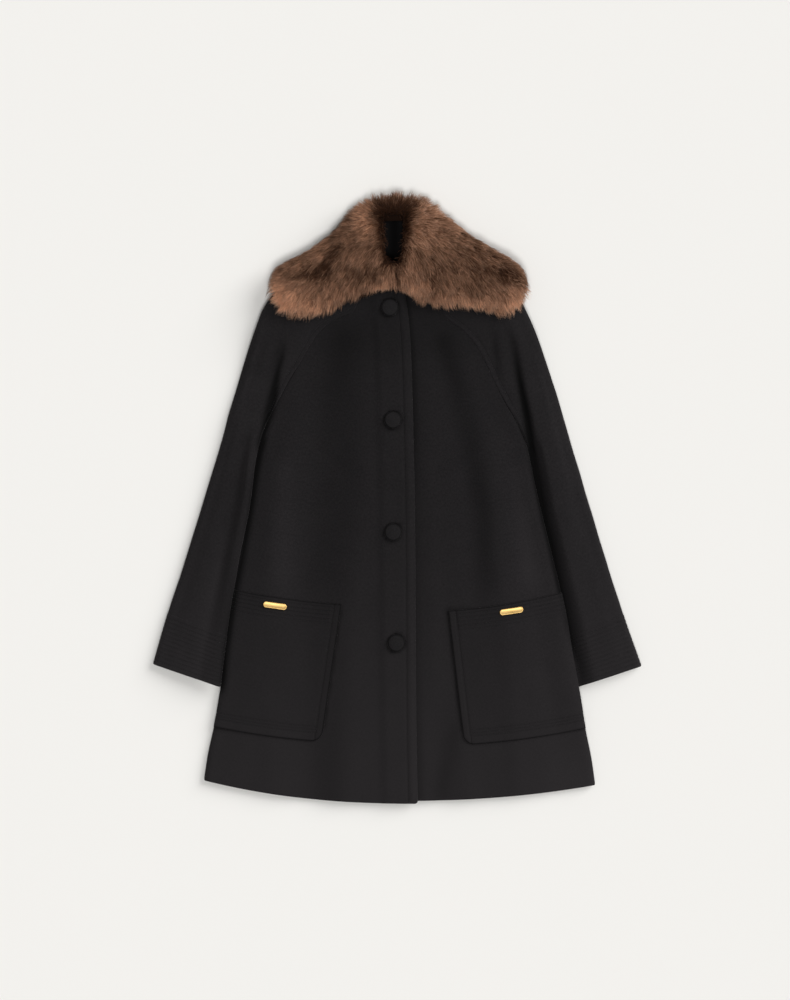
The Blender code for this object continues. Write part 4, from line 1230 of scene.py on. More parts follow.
@functools.cache
def pocket_panel(name):
    """A patch pocket, which lies on its front and goes round the side fold with it."""
    side = SIDES[name]
    sections = front_sections(side)[POCKET_BOTTOM:POCKET_TOP + 1]
    spans = []
    for section, row in zip(sections, side.rows[POCKET_BOTTOM:POCKET_TOP + 1]):
        start = side.sign * (side.pocket_edge(row[0]) - edge_x(row[0], side.edge))
        spans.append((start, section.total - section.last.arc / 3))
    band = POCKET_BAND - POCKET_BOTTOM
    across, along = GRID_STEPS["pocket"]

    def rows(places):
        low = lined(ROW_STEPS, *POCKET_LINES)
        body = steps_between(0.0, places[band], low, (0.0, 2.0), along)
        return np.array(list(body[:-1]) + ridge_rows(places[band], places[-1], POCKET_RIDGES)
                        + [places[-1] - 0.6, places[-1]])

    offsets = (LAYER_GAP + CLOTH, LAYER_GAP)
    near = lined(POCKET_STEPS, POCKET_SIDE_LINE) + POCKET_REST
    panel = Panel(sections, near, FOLD_STEPS[:-2], across, rows, offsets, spans)
    x, y = panel.plan()
    panel.crease(CREASES)
    if side is RIGHT:
        # Painted shade of the fold beside the sleeve.
        panel.shade(fold_fields(x, y)[1])
    start, stop = panel.places[band], panel.length
    ridge = ridge_shape(panel.up, start, stop, POCKET_RIDGES)
    inset = smooth((panel.across - POCKET_SIDE_LINE) / 2.0)
    panel.push(in_mm("ridge_height") * ridge * inset)
    in_band = smooth((panel.up - start) / 2.0) * inset
    edge = np.minimum(np.minimum(panel.across, panel.up), panel.length - panel.up)
    puff, flat, wide = POCKET_PUFF
    panel.push(puff * smooth((edge - flat) / wide))
    # Painted shade on the pocket's rolled edges.
    panel.shade_along(edge, *POCKET_EDGE_SHADE)
    # Painted shade along the stitched lines between the pocket's ridges, and the pocket's darker
    # nap.
    panel.dark += POCKET_NAP + RIDGE_SHADE[0] * (1.0 - ridge) * in_band
    # Painted light and shade bands.
    panel.dark += crease_fields(SHADING_BANDS, x, y)[0]
    depth = in_mm("groove_depth")
    panel.groove(panel.across - POCKET_SIDE_LINE, depth)
    for line in POCKET_LINES:
        panel.groove(panel.up - line, CHANNEL_GROOVE * depth, inset)
    panel.round_corner(POCKET_CORNER, False)
    panel.roll_edges(*ROLLED["pocket"])
    return panel


def place_object(name, mesh):
    """Puts a mesh in the scene."""
    piece = bpy.data.objects.new(name, mesh)
    bpy.context.scene.collection.objects.link(piece)
    return piece


def dress(piece, finish, slot, *replaced):
    """Gives a piece its finish and its place on the coat. The slot is not used."""
    piece.data.materials.clear()
    piece.data.materials.append(finish())
    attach(piece, "root")
    if replaced:
        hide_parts(*replaced)


# Cut sizes of what shows of the cloth pieces, in metres, and what each lies on
CUT_COLUMNS = ("width", "length", "area", "below")
CUTS = {
    "back": (0.6, 0.88, 0.357, []),
    "front_left": (0.32, 0.775, 0.183, ["back"]),
    "front_right": (0.326, 0.778, 0.184, ["back", "front_left"]),
    "sleeve_right_back": (0.118, 0.742, 0.056, []),
    "sleeve_right_front": (0.12, 0.695, 0.062, ["sleeve_right_back"]),
    "sleeve_left_back": (0.118, 0.742, 0.055, []),
    "sleeve_left_front": (0.12, 0.69, 0.0638, ["sleeve_left_back"]),
    "pocket_right": (0.174, 0.21, 0.0354, ["front_right"]),
    "pocket_left": (0.19, 0.208, 0.038, ["front_left"]),
}


def add_cloth(node, panel):
    """Adds a cloth shell in place of its solid."""
    name = node + "_cloth"
    cut = named(CUT_COLUMNS, CUTS[node])
    piece = place_object(name, panel.mesh(name))
    dress(piece, wool_finish, "wool", node)
    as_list(cut["below"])


class Number:
    """A value socket in a Python expression; each operator adds a Math node."""

    def __init__(self, finish, socket):
        self.finish = finish
        self.socket = socket

    def math(self, operation, *values):
        sockets = dict(enumerate(values))
        return self.finish.node("ShaderNodeMath", {"operation": operation}, sockets)

    def __add__(self, other):
        return self.math("ADD", self, other)

    __radd__ = __add__

    def __mul__(self, other):
        return self.math("MULTIPLY", self, other)

    __rmul__ = __mul__


class Finish:
    """One material, built from its shader's sockets backwards."""

    def __init__(self, name, **shader_values):
        self.material = bpy.data.materials.new(name)
        self.material.use_nodes = True
        self.tree = self.material.node_tree
        self.shader = self.tree.nodes["Principled BSDF"]
        for socket, value in shader_values.items():
            self.shader.inputs[socket.replace("_", " ")].default_value = value

    def node(self, kind, settings=None, inputs=None, output=0):
        """Adds a node with its settings, then its sockets' values or links."""
        node = self.tree.nodes.new(kind)
        for key, value in (settings or {}).items():
            setattr(node, key, value)
        for key, value in (inputs or {}).items():
            if isinstance(value, Number):
                self.tree.links.new(value.socket, node.inputs[key])
            else:
                node.inputs[key].default_value = value
        return Number(self, node.outputs[output])

    def blend(self, share, first, second):
        """A colour a share of the way from the first to the second."""
        sockets = {0: share, 6: first, 7: second}
        return self.node("ShaderNodeMix", {"data_type": "RGBA"}, sockets, 2)

    def between(self, value, low, high, to_low=0.0, to_high=1.0):
        """A value brought from one range to another, smoothly and no further."""
        return self.node("ShaderNodeMapRange", {"interpolation_type": "SMOOTHSTEP"},
                         {0: value, 1: low, 2: high, 3: to_low, 4: to_high})

    def attribute(self, name):
        """A number kept on the mesh."""
        return self.node("ShaderNodeAttribute", {"attribute_name": name}, output=2)

    def place(self):
        """The place on the coat, in metres."""
        return self.node("ShaderNodeTexCoord", output=3)

    def noise(self, place, scale, detail=2.0, roughness=0.5):
        """Soft noise at a place."""
        return self.node("ShaderNodeTexNoise", None, {
            "Vector": place, "Scale": scale, "Detail": detail, "Roughness": roughness})

    def stretched(self, place, scale):
        """A place scaled differently along each axis."""
        return self.node("ShaderNodeMapping", None, {"Vector": place, "Scale": scale})

    def link(self, socket, value):
        """Feeds one of the shader's sockets."""
        self.tree.links.new(value.socket, self.shader.inputs[socket])

    def bump(self, *layers):
        """Raises the surface by layers of (height, distance in metres, strength)."""
        normal = None
        for height, distance, strength in layers:
            inputs = {"Strength": strength, "Distance": distance, "Height": height}
            if normal:
                inputs["Normal"] = normal
            normal = self.node("ShaderNodeBump", None, inputs)
        self.link("Normal", normal)


def tinted(name):
    """One of the coat's colours, as four numbers."""
    return (*getattr(bpy.context.scene.coat_colours, name), 1.0)


@functools.cache
def wool_finish():
    """Black felted wool: a short nap that follows the cut, with faint mottling, paler towards the
    hem, and painted shade and highlights.
    """
    finish = Finish("black_wool", Roughness=0.92, Specular_IOR_Level=0.12, Sheen_Weight=0.13,
                    Sheen_Roughness=0.45, Sheen_Tint=tinted("sheen"))
    cut = finish.node("ShaderNodeUVMap", {"uv_map": "cut"})
    nap = finish.noise(finish.stretched(cut, (1100.0, 330.0, 1.0)), 1.0, 3.0, 0.6)
    felt = finish.noise(cut, 260.0, 3.0, 0.6)
    mottle = finish.noise(cut, 26.0, 4.0, 0.62)
    shade = 0.5 * nap + 0.35 * felt + 0.15 * mottle
    cloth = finish.blend(finish.between(shade, 0.34, 0.66), tinted("wool"), tinted("nap"))
    # Paler towards the hem.
    height = finish.node("ShaderNodeSeparateXYZ", None, {0: finish.place()}, 1)
    hem_paler = finish.blend(0.55, cloth, tinted("pale_and_highlight"))
    cloth = finish.blend(finish.between(height, -0.47, 0.05), hem_paler, cloth)
    # Painted light and shade: below zero the cloth goes towards the pale colour as a painted
    # highlight, and above zero towards the painted shadow colour.
    dark = finish.attribute("dark_nap")
    cloth = finish.blend(-1.6 * dark, cloth, tinted("pale_and_highlight"))
    finish.link("Base Color", finish.blend(dark, cloth, tinted("painted_shadow")))
    finish.bump((mottle, 0.0008, 0.2), (felt, 0.0006, 0.5), (nap, 0.0004, 0.55))
    return finish.material


@functools.cache
def button_finish():
    """The same wool, stretched smooth over a button."""
    finish = Finish("button_wool", Roughness=0.85, Specular_IOR_Level=0.15, Sheen_Weight=0.18,
                    Sheen_Roughness=0.4, Sheen_Tint=tinted("sheen"))
    place = finish.place()
    nap = finish.noise(finish.stretched(place, (1200.0, 420.0, 900.0)), 1.0, 3.0, 0.6)
    felt = finish.noise(place, 420.0, 3.0)
    shade = finish.between(0.6 * nap + 0.4 * felt, 0.35, 0.65)
    cloth = finish.blend(shade, tinted("wool"), tinted("nap"))
    # Painted shade on the button's rim.
    dark = finish.attribute("dark_nap")
    finish.link("Base Color", finish.blend(dark, cloth, tinted("painted_shadow")))
    finish.bump((felt, 0.0005, 0.4), (nap, 0.0003, 0.5))
    return finish.material


@functools.cache
def thread_finish():
    """Black sewing thread, twisted from two plies."""
    finish = Finish("black_thread", Roughness=0.55, Specular_IOR_Level=0.3)
    fibre = finish.noise(finish.place(), 1500.0)
    finish.link("Base Color", finish.blend(fibre, tinted("wool"), tinted("thread")))
    finish.bump((fibre, 0.0002, 0.5))
    return finish.material


@functools.cache
def gilt_finish():
    """Polished gilt metal with faint handling marks."""
    finish = Finish("gilt_metal", Metallic=1.0)
    place = finish.place()
    cloud = finish.noise(place, 90.0, 3.0)
    marks = finish.noise(finish.stretched(place, (2600.0, 300.0, 600.0)), 1.0)
    worn = finish.between(cloud, 0.3, 0.7)
    finish.link("Base Color", finish.blend(worn, tinted("gilt"), tinted("gilt_light")))
    finish.link("Roughness", finish.between(0.6 * cloud + 0.4 * marks, 0.3, 0.7, 0.4, 0.48))
    finish.bump((marks, 0.00005, 0.15))
    return finish.material


@functools.cache
def fur_finish():
    """Brown hair: dark at the root, paler towards the tip, darker hairs in patches, and painted
    shade by the neck's slot.
    """
    finish = Finish("brown_fur", Roughness=0.6, Specular_IOR_Level=0.12)
    along = finish.attribute("along_hair")
    dark = finish.attribute("dark_hair")
    shade = finish.between(finish.attribute("hair_shade"), 0.0, 1.0, 0.0, 0.42)
    middle = finish.between(along, 0.0, 0.75)
    light = finish.blend(middle, tinted("fur_root"), tinted("fur_light"))
    tip = finish.between(along, 0.7, 1.0, 0.0, 0.5)
    light = finish.blend(tip, light, tinted("fur_tip"))
    deep = finish.blend(finish.between(along, 0.1, 0.9), tinted("fur_under"), tinted("fur_dark"))
    hair = finish.blend(dark, light, deep)
    finish.link("Base Color", finish.blend(shade, hair, tinted("fur_under")))
    return finish.material


@functools.cache
def skin_finish():
    """The dense short wool of the pelt between the roots, with painted shade by the neck's slot.
    """
    finish = Finish("pelt", Roughness=0.9, Specular_IOR_Level=0.1)
    down = finish.noise(finish.place(), 700.0, 3.0)
    pale = finish.blend(down, tinted("fur_dark"), tinted("fur_root"))
    dark = finish.attribute("dark_hair")
    finish.link("Base Color", finish.blend(dark, pale, tinted("fur_under")))
    finish.bump((down, 0.0012, 0.8))
    return finish.material


@functools.cache
def stage_finish():
    """A smooth cream surface."""
    finish = Finish("cream_surface", Roughness=0.9, Specular_IOR_Level=0.1)
    grain = finish.noise(finish.place(), 3.0, 3.0)
    finish.link("Base Color", finish.blend(grain, tinted("stage"), tinted("stage_warm")))
    return finish.material


def size(label, text, default, **limits):
    """A length that a user may set, in metres."""
    return bpy.props.FloatProperty(name=label, description=text, default=default, precision=4,
                                   unit="LENGTH", **limits)


def tint(label, text, default):
    """A colour that a user may set."""
    return bpy.props.FloatVectorProperty(name=label, description=text, default=default, size=3,
                                         subtype="COLOR", min=0.0, max=1.0)


class CoatSizes(bpy.types.PropertyGroup):
    """Sizes of the coat's finer form."""

    ridge_height: size("Ridge height", "How far a channel-stitched ridge stands up", 0.0008)
    groove_depth: size("Groove depth", "How far a stitched line sinks into the cloth", 0.0008)
    stitch_pitch: size("Stitch pitch", "Distance from one stitch to the next", 0.0034)
    stitch_length: size("Stitch length", "Length of the thread that shows", 0.0027)
    thread: size("Thread", "Width of the sewing thread", 0.0005)
    button_radius: size("Button radius", "Radius of a covered button", 0.013)
    bar_length: size("Bar length", "Length of a gilt bar", 0.036)
    bar_width: size("Bar width", "Width of a gilt bar", 0.0095)
    bar_height: size("Bar height", "Height of a gilt bar", 0.003)
    hair_length: size("Hair length", "Length of the longest hairs of the collar", 0.03)
    hair_width: size("Hair width", "Width of a lock of hair at its root", 0.0008)
    long_hairs: bpy.props.IntProperty(
        name="Long hairs", description="Number of long hairs on the collar", default=30000,
        min=2500, max=40000)
    short_hairs: bpy.props.IntProperty(
        name="Short hairs", description="Number of short hairs on the collar", default=16000,
        min=2500, max=40000)


class CoatColours(bpy.types.PropertyGroup):
    """Colours of the coat and of the surface that it lies on."""

    wool: tint("Wool", "Felted wool, in its hollows", (0.0097, 0.0087, 0.0094))
    nap: tint("Nap", "Tips of the wool's nap", (0.0189, 0.0169, 0.0178))
    # A paler wool, which the cloth goes towards near the hem and where painted highlights lie.
    pale_and_highlight: tint("Brushed nap", "Nap that lies smooth, towards the hem", (0.0297, 0.0265, 0.0279))
    # The painted shadow colour, which painted shade in creases, seams, folds and beside parts goes
    # towards.
    painted_shadow: tint("Hollows", "Nap down in seams and deep folds", (0.0008, 0.0007, 0.0007))
    sheen: tint("Sheen", "Light caught by the nap", (0.55, 0.5, 0.52))
    thread: tint("Thread", "Sewing thread", (0.02, 0.018, 0.019))
    gilt: tint("Gilt", "Gilt metal", (0.55, 0.35, 0.12))
    gilt_light: tint("Pale gilt", "Gilt metal where it is polished", (0.66, 0.44, 0.17))
    fur_light: tint("Fur", "Middle of the pale hairs", (0.88, 0.485, 0.3))
    fur_tip: tint("Fur tips", "Tips of the pale hairs", (1.0, 0.73, 0.56))
    fur_root: tint("Fur roots", "Roots of the pale hairs", (0.36, 0.152, 0.068))
    fur_dark: tint("Dark fur", "Tips of the dark hairs", (0.09, 0.036, 0.0165))
    fur_under: tint("Fur ground", "Roots of the dark hairs", (0.015, 0.0064, 0.0034))
    stage: tint("Surface", "Cream surface", (0.86, 0.85, 0.82))
    stage_warm: tint("Surface, warm", "Cream surface where it is warmer", (0.87, 0.855, 0.825))


def deselect_all():
    """Leaves object mode with nothing selected."""
    if bpy.context.object and bpy.context.object.mode != "OBJECT":
        bpy.ops.object.mode_set(mode="OBJECT")
    bpy.ops.object.select_all(action="DESELECT")


def make_active(piece):
    """Selects one piece alone and makes it the active one."""
    deselect_all()
    piece.select_set(True)
    bpy.context.view_layer.objects.active = piece


def face_outward():
    """Turns all faces of the active piece, which is closed, outwards."""
    bpy.ops.object.mode_set(mode="EDIT")
    bpy.ops.mesh.select_all(action="SELECT")
    bpy.ops.mesh.normals_make_consistent(inside=False)
    bpy.ops.object.mode_set(mode="OBJECT")


class COAT_OT_body(bpy.types.Operator):
    """Makes the back and the two fronts"""

    bl_idname = "coat.body"
    bl_label = "Back and fronts"

    def execute(self, context):
        add_cloth("back", back_panel())
        add_cloth("front_left", front_panel("left"))
        add_cloth("front_right", front_panel("right"))
        return {"FINISHED"}


class COAT_OT_sleeves(bpy.types.Operator):
    """Makes the halves of both sleeves"""

    bl_idname = "coat.sleeves"
    bl_label = "Sleeves"

    def execute(self, context):
        for side in SIDES:
            for half in ("back", "front"):
                add_cloth("sleeve_%s_%s" % (side, half), sleeve_panel(side, half))
        return {"FINISHED"}


class COAT_OT_pockets(bpy.types.Operator):
    """Makes the patch pockets"""

    bl_idname = "coat.pockets"
    bl_label = "Pockets"

    def execute(self, context):
        for side in SIDES:
            add_cloth("pocket_" + side, pocket_panel(side))
        return {"FINISHED"}


# A stitch: its points, where its two square rings lie along it, how far they are raised, and
# the least height of its points
STITCH_POINTS = 10
STITCH_RINGS = (-0.26, 0.26)
STITCH_RAISED = 0.8
STITCH_LEAST = 0.1


def stitches(points, normals):
    """The points of a run of stitches on a line, a row for each stitch."""
    pitch, length, radius = in_mm("stitch_pitch"), in_mm("stitch_length"), in_mm("thread") / 2
    ring = [(math.cos(a), math.sin(a)) for a in (0.0, math.pi / 2, math.pi, 3 * math.pi / 2)]
    travel = travelled(points)
    places = np.arange(pitch, travel[-1] - pitch, pitch)
    sample = [np.interp(places[:, None] + np.array([[-0.5, 0.0, 0.5]]) * length, travel,
                        points[:, k]) for k in range(3)]
    start, middle, stop = np.stack(sample, axis=-1).transpose(1, 0, 2)
    up = unit(np.stack([np.interp(places, travel, normals[:, k]) for k in range(3)], axis=-1))
    ahead = unit(stop - start)
    side = unit(np.cross(ahead, up))
    parts = [middle - ahead * (0.5 * length)]
    for reach in STITCH_RINGS:
        centre = middle + ahead * (reach * length) + up * (STITCH_RAISED * radius)
        parts += [centre + (side * c + up * s) * radius for c, s in ring]
    parts.append(middle + ahead * (0.5 * length))
    block = np.stack(parts, axis=1)
    block[..., 2] = np.maximum(block[..., 2], STITCH_LEAST)
    return block


def add_stitches(name, lines):
    """Adds the stitches of several lines of (points, normals) as one piece."""
    blocks = np.concatenate([stitches(*line) for line in lines])
    pattern = []
    for m in range(4):
        a, b = 1 + m, 1 + (m + 1) % 4
        pattern += [(0, b, a), (a, b, b + 4), (a, b + 4, a + 4), (a + 4, b + 4, 9)]
    first = STITCH_POINTS * np.arange(len(blocks))[:, None, None]
    faces = (first + np.array(pattern)[None]).reshape(-1, 3)
    mesh = bpy.data.meshes.new(name)
    mesh.from_pydata((blocks.reshape(-1, 3) * MM).tolist(), [], faces.tolist())
    a, b, c = blocks[0][list(pattern[0])]
    centre = blocks[0].mean(axis=0)
    if np.dot(np.cross(b - a, c - a), (a + b + c) / 3 - centre) < 0:
        mesh.flip_normals()
    mesh.shade_smooth()
    dress(place_object(name, mesh), thread_finish, "wool")


class COAT_OT_stitching(bpy.types.Operator):
    """Makes the topstitching of the edges, seams, cuffs and pockets"""

    bl_idname = "coat.stitching"
    bl_label = "Stitching"

    def execute(self, context):
        add_stitches("placket_stitches", [
            front_panel("right").line_along(PLACKET_LINE, FROM_HEM),
            front_panel("left").line_along(HIDDEN_LINE, FROM_HEM)])
        for side in SIDES:
            pocket = pocket_panel(side)
            rows = [pocket.line_across(line, POCKET_SIDE_LINE + 2.0) for line in POCKET_LINES]
            start = pocket.places[POCKET_BAND - POCKET_BOTTOM]
            pitch = (pocket.length - start) / POCKET_RIDGES
            rows += [pocket.line_across(start + index * pitch, POCKET_SIDE_LINE + 1.0)
                     for index in range(POCKET_RIDGES)]
            rows.append(pocket.line_along(POCKET_SIDE_LINE, POCKET_SIDE_LINE))
            add_stitches("pocket_%s_stitches" % side, rows)
            for half in ("front", "back"):
                sleeve = sleeve_panel(side, half)
                pitch = sleeve.places[1] / CUFF_RIDGES
                rows = [sleeve.line_across(index * pitch, 1.0, 1.0)
                        for index in range(1, CUFF_RIDGES + 1)]
                start = sleeve.places[len(SIDES[side].sleeve)] + SEAM_START
                rows.append(sleeve.line_along(RAGLAN_LINE, start, from_last=True))
                add_stitches("sleeve_%s_%s_stitches" % (side, half), rows)
        return {"FINISHED"}


class COAT_OT_buttons(bpy.types.Operator):
    """Makes the four covered buttons"""

    bl_idname = "coat.buttons"
    bl_label = "Covered buttons"

    def execute(self, context):
        sizes = context.scene.coat_sizes
        radius = sizes.button_radius
        for number, (x, y) in enumerate(BUTTON_PLACES, 1):
            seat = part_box("button_%d" % number)[0].z / MM
            deselect_all()
            first, start = BUTTON_RINGS[0]
            bpy.ops.mesh.primitive_circle_add(
                vertices=BUTTON_SIDES, radius=radius * first, fill_type="NGON",
                location=(x * MM, y * MM, (seat + start) * MM))
            piece = context.object
            piece.name = "button_%d_cover" % number
            bpy.ops.object.mode_set(mode="EDIT")
            share, height = first, start
            for wider, higher in BUTTON_RINGS[1:]:
                bpy.ops.mesh.extrude_region_move(
                    TRANSFORM_OT_translate={"value": (0.0, 0.0, (higher - height) * MM)})
                bpy.ops.transform.resize(value=(wider / share, wider / share, 1.0),
                                         center_override=piece.location)
                share, height = wider, higher
            bpy.ops.mesh.inset(thickness=radius * share * BUTTON_INSET, depth=BUTTON_CROWN)
            bpy.ops.mesh.poke()
            face_outward()
            gather(piece, radius)
            # Painted shade on the cover's rim.
            reach = [math.hypot(*vertex.co[:2]) / radius for vertex in piece.data.vertices]
            rim = smooth((np.array(reach) - BUTTON_RIM[0]) / BUTTON_RIM[1])
            keep_values(piece.data, "dark_nap", mix(*BUTTON_RIM_SHADE, rim))
            bpy.ops.object.transform_apply(location=True, rotation=True, scale=True)
            bpy.ops.object.shade_smooth()
            dress(piece, button_finish, "button_wool", "button_%d" % number)
        return {"FINISHED"}


def gather(piece, radius):
    """Draws the cover's lower edge into small uneven pleats."""
    for vertex in piece.data.vertices:
        x, y, z = vertex.co
        reach = math.hypot(x, y)
        if reach > PLEAT_FROM * radius and z < PLEAT_HEIGHT:
            angle = math.atan2(y, x)
            wave = math.sin(PLEATS * angle) + 0.5 * math.sin(FINE_PLEATS * angle + FINE_START)
            move = 1.0 + PLEAT_DEPTH * wave * (1.0 - z / PLEAT_HEIGHT)
            vertex.co.x *= move
            vertex.co.y *= move


class COAT_OT_bars(bpy.types.Operator):
    """Makes the plain gilt bars on the pockets"""

    bl_idname = "coat.bars"
    bl_label = "Gilt bars"

    def execute(self, context):
        sizes = context.scene.coat_sizes
        height = sizes.bar_height
        for name, (x, y, turn) in BAR_PLACES.items():
            low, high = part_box(name)
            deselect_all()
            bpy.ops.mesh.primitive_cube_add(
                size=1.0, location=(x * MM, y * MM, (low.z + high.z) / 2),
                scale=(sizes.bar_length, sizes.bar_width, height))
            piece = context.object
            piece.name = name + "_gilt"
            bpy.ops.object.transform_apply(location=False, rotation=False, scale=True)
            bpy.ops.object.mode_set(mode="EDIT")
            bpy.ops.mesh.select_mode(type="EDGE")
            select_parts(piece, "edges", lambda z: max(z) - min(z) > 0.5 * height)
            bpy.ops.mesh.bevel(offset=BAR_END * sizes.bar_width, segments=BAR_END_STEPS,
                               affect="EDGES")
            select_parts(piece, "edges", lambda z: min(z) > 0.49 * height)
            bpy.ops.mesh.bevel(offset=BAR_ROUND, segments=BAR_ROUND_STEPS, affect="EDGES")
            bpy.ops.mesh.select_mode(type="FACE")
            select_parts(piece, "polygons", lambda z: min(z) > 0.499 * height)
            bpy.ops.mesh.inset(thickness=BAR_RIM, depth=-BAR_FACE_DEPTH)
            bpy.ops.object.mode_set(mode="OBJECT")
            piece.rotation_euler = (0.0, 0.0, turn)
            bpy.ops.object.transform_apply(location=True, rotation=True, scale=True)
            bpy.ops.object.shade_smooth_by_angle(angle=math.radians(BAR_SMOOTH))
            dress(piece, gilt_finish, "gilt", name)
        return {"FINISHED"}


def select_parts(piece, kind, wanted):
    """Selects the edges or faces whose corners' heights suit, in edit mode."""
    bpy.ops.mesh.select_all(action="DESELECT")
    bpy.ops.object.mode_set(mode="OBJECT")
    verts = piece.data.vertices
    for part in getattr(piece.data, kind):
        part.select = wanted([verts[k].co.z for k in part.vertices])
    bpy.ops.object.mode_set(mode="EDIT")


@functools.cache
def collar_edge():
    """The collar's outline as even points on a smooth closed curve."""
    corners = np.array(COLLAR_OUTLINE, float)
    a, b, c, d = (np.roll(corners, -k, axis=0)[:, None, :] for k in (-1, 0, 1, 2))
    t = (np.arange(OUTLINE_STEPS) / OUTLINE_STEPS)[None, :, None]
    curve = 0.5 * (2 * b + (c - a) * t + (2 * a - 5 * b + 4 * c - d) * t * t
                   + (3 * b - a - 3 * c + d) * t ** 3)
    curve = curve.reshape(-1, 2)
    closed = np.vstack((curve, curve[:1]))
    travel = travelled(closed)
    even = np.linspace(0.0, travel[-1], SKIN_SIDES, endpoint=False)
    return np.stack([np.interp(even, travel, closed[:, k]) for k in range(2)], axis=1)


@functools.cache
def collar_rim(inset):
    """The collar's outline, moved inwards."""
    rim = collar_edge()
    ahead = unit(np.roll(rim, -2, axis=0) - np.roll(rim, 2, axis=0))
    inward = np.stack((ahead[:, 1], -ahead[:, 0]), axis=1)
    towards = np.array(COLLAR_CENTRE) - rim
    inward *= np.sign((inward * towards).sum(axis=1))[:, None]
    for _ in range(WAY_PASSES):
        inward = unit(inward + np.roll(inward, 1, axis=0) + np.roll(inward, -1, axis=0))
    outward = -(hair_flow(rim[:, 0], rim[:, 1]) * inward).sum(axis=1)
    depth = mix(SKIN_NEAR, inset, np.clip(outward, 0.0, 1.0))
    for _ in range(DEPTH_PASSES):
        depth = (np.roll(depth, 1) + depth + np.roll(depth, -1)) / 3.0
    return rim + inward * depth[:, None]


def pelt_point(turn, share, over):
    """A point of the pelt under the hair, at a turn round the rim and a share of the way out."""
    rim = collar_rim(SKIN_INSET)
    place = np.asarray(turn) * SKIN_SIDES
    low = np.floor(place).astype(int) % SKIN_SIDES
    part = (place - np.floor(place))[..., None]
    edge_point = mix(rim[low], rim[(low + 1) % SKIN_SIDES], part)
    centre = np.array(COLLAR_CENTRE)
    plan = centre + (edge_point - centre) * share[..., None]
    away = edge_point - centre
    rise = away[..., 1] / np.maximum(np.hypot(away[..., 0], away[..., 1]), 1e-9)
    front = smooth(0.5 - COLLAR_FRONT_BLEND * rise)
    back = smooth((rise - COLLAR_BACK_FROM) / COLLAR_BACK_OVER)
    edge = mix(COLLAR_SHOULDER_EDGE, COLLAR_FRONT_EDGE - SKIN_FRONT_DROP, front)
    outer = smooth(share / COLLAR_BACK_OVER)
    crest = mix(COLLAR_CREST - SKIN_DROP, COLLAR_BACK_CREST - SKIN_BACK_DROP, back * outer)
    top = mix(edge, crest, np.sqrt(np.clip(1.0 - share ** COLLAR_TOP_POWER, 0.0, 1.0)))
    full = np.sqrt(np.clip(1.0 - share ** COLLAR_UNDER_POWER, 0.0, 1.0))
    under = mix(edge, SKIN_UNDER, full)
    z = np.where(over, top, under)
    return np.concatenate((plan, z[..., None]), axis=-1)


def cavity_plan():
    """The outline of the space that the coat fills inside the collar."""
    lines = []
    for sign, side in ((-1, RIGHT), (1, LEFT)):
        line = [(sign * x, y) for x, y in CAVITY_SIDE]
        shoulder = [(sign * row["outer_x"], row["outer_y"]) for row in side.raglan[1:]]
        line += moved_in(shoulder, sign * -CAVITY_MARGIN)
        line.append((sign * CAVITY_NECK[0], CAVITY_NECK[1]))
        lines.append(line)
    return lines[0] + lines[1][::-1]


def inside(outline, x, y):
    """Which points lie inside a closed outline."""
    found = np.zeros(x.shape, bool)
    for (x0, y0), (x1, y1) in zip(outline, [*outline[1:], outline[0]]):
        if y0 != y1:
            crosses = (y0 > y) != (y1 > y)
            found ^= crosses & (x < (x1 - x0) * (y - y0) / (y1 - y0) + x0)
    return found


def prism(name, outline, low, high):
    """A cutter: an outline raised from one height to another."""
    count = len(outline)
    verts = [(x * MM, y * MM, z * MM) for z in (low, high) for x, y in outline]
    faces = [tuple(range(count))[::-1], tuple(range(count, 2 * count))] + ring_faces(2, count)
    mesh = bpy.data.meshes.new(name)
    mesh.from_pydata(verts, [], faces)
    cutter = place_object(name, mesh)
    make_active(cutter)
    face_outward()
    return cutter


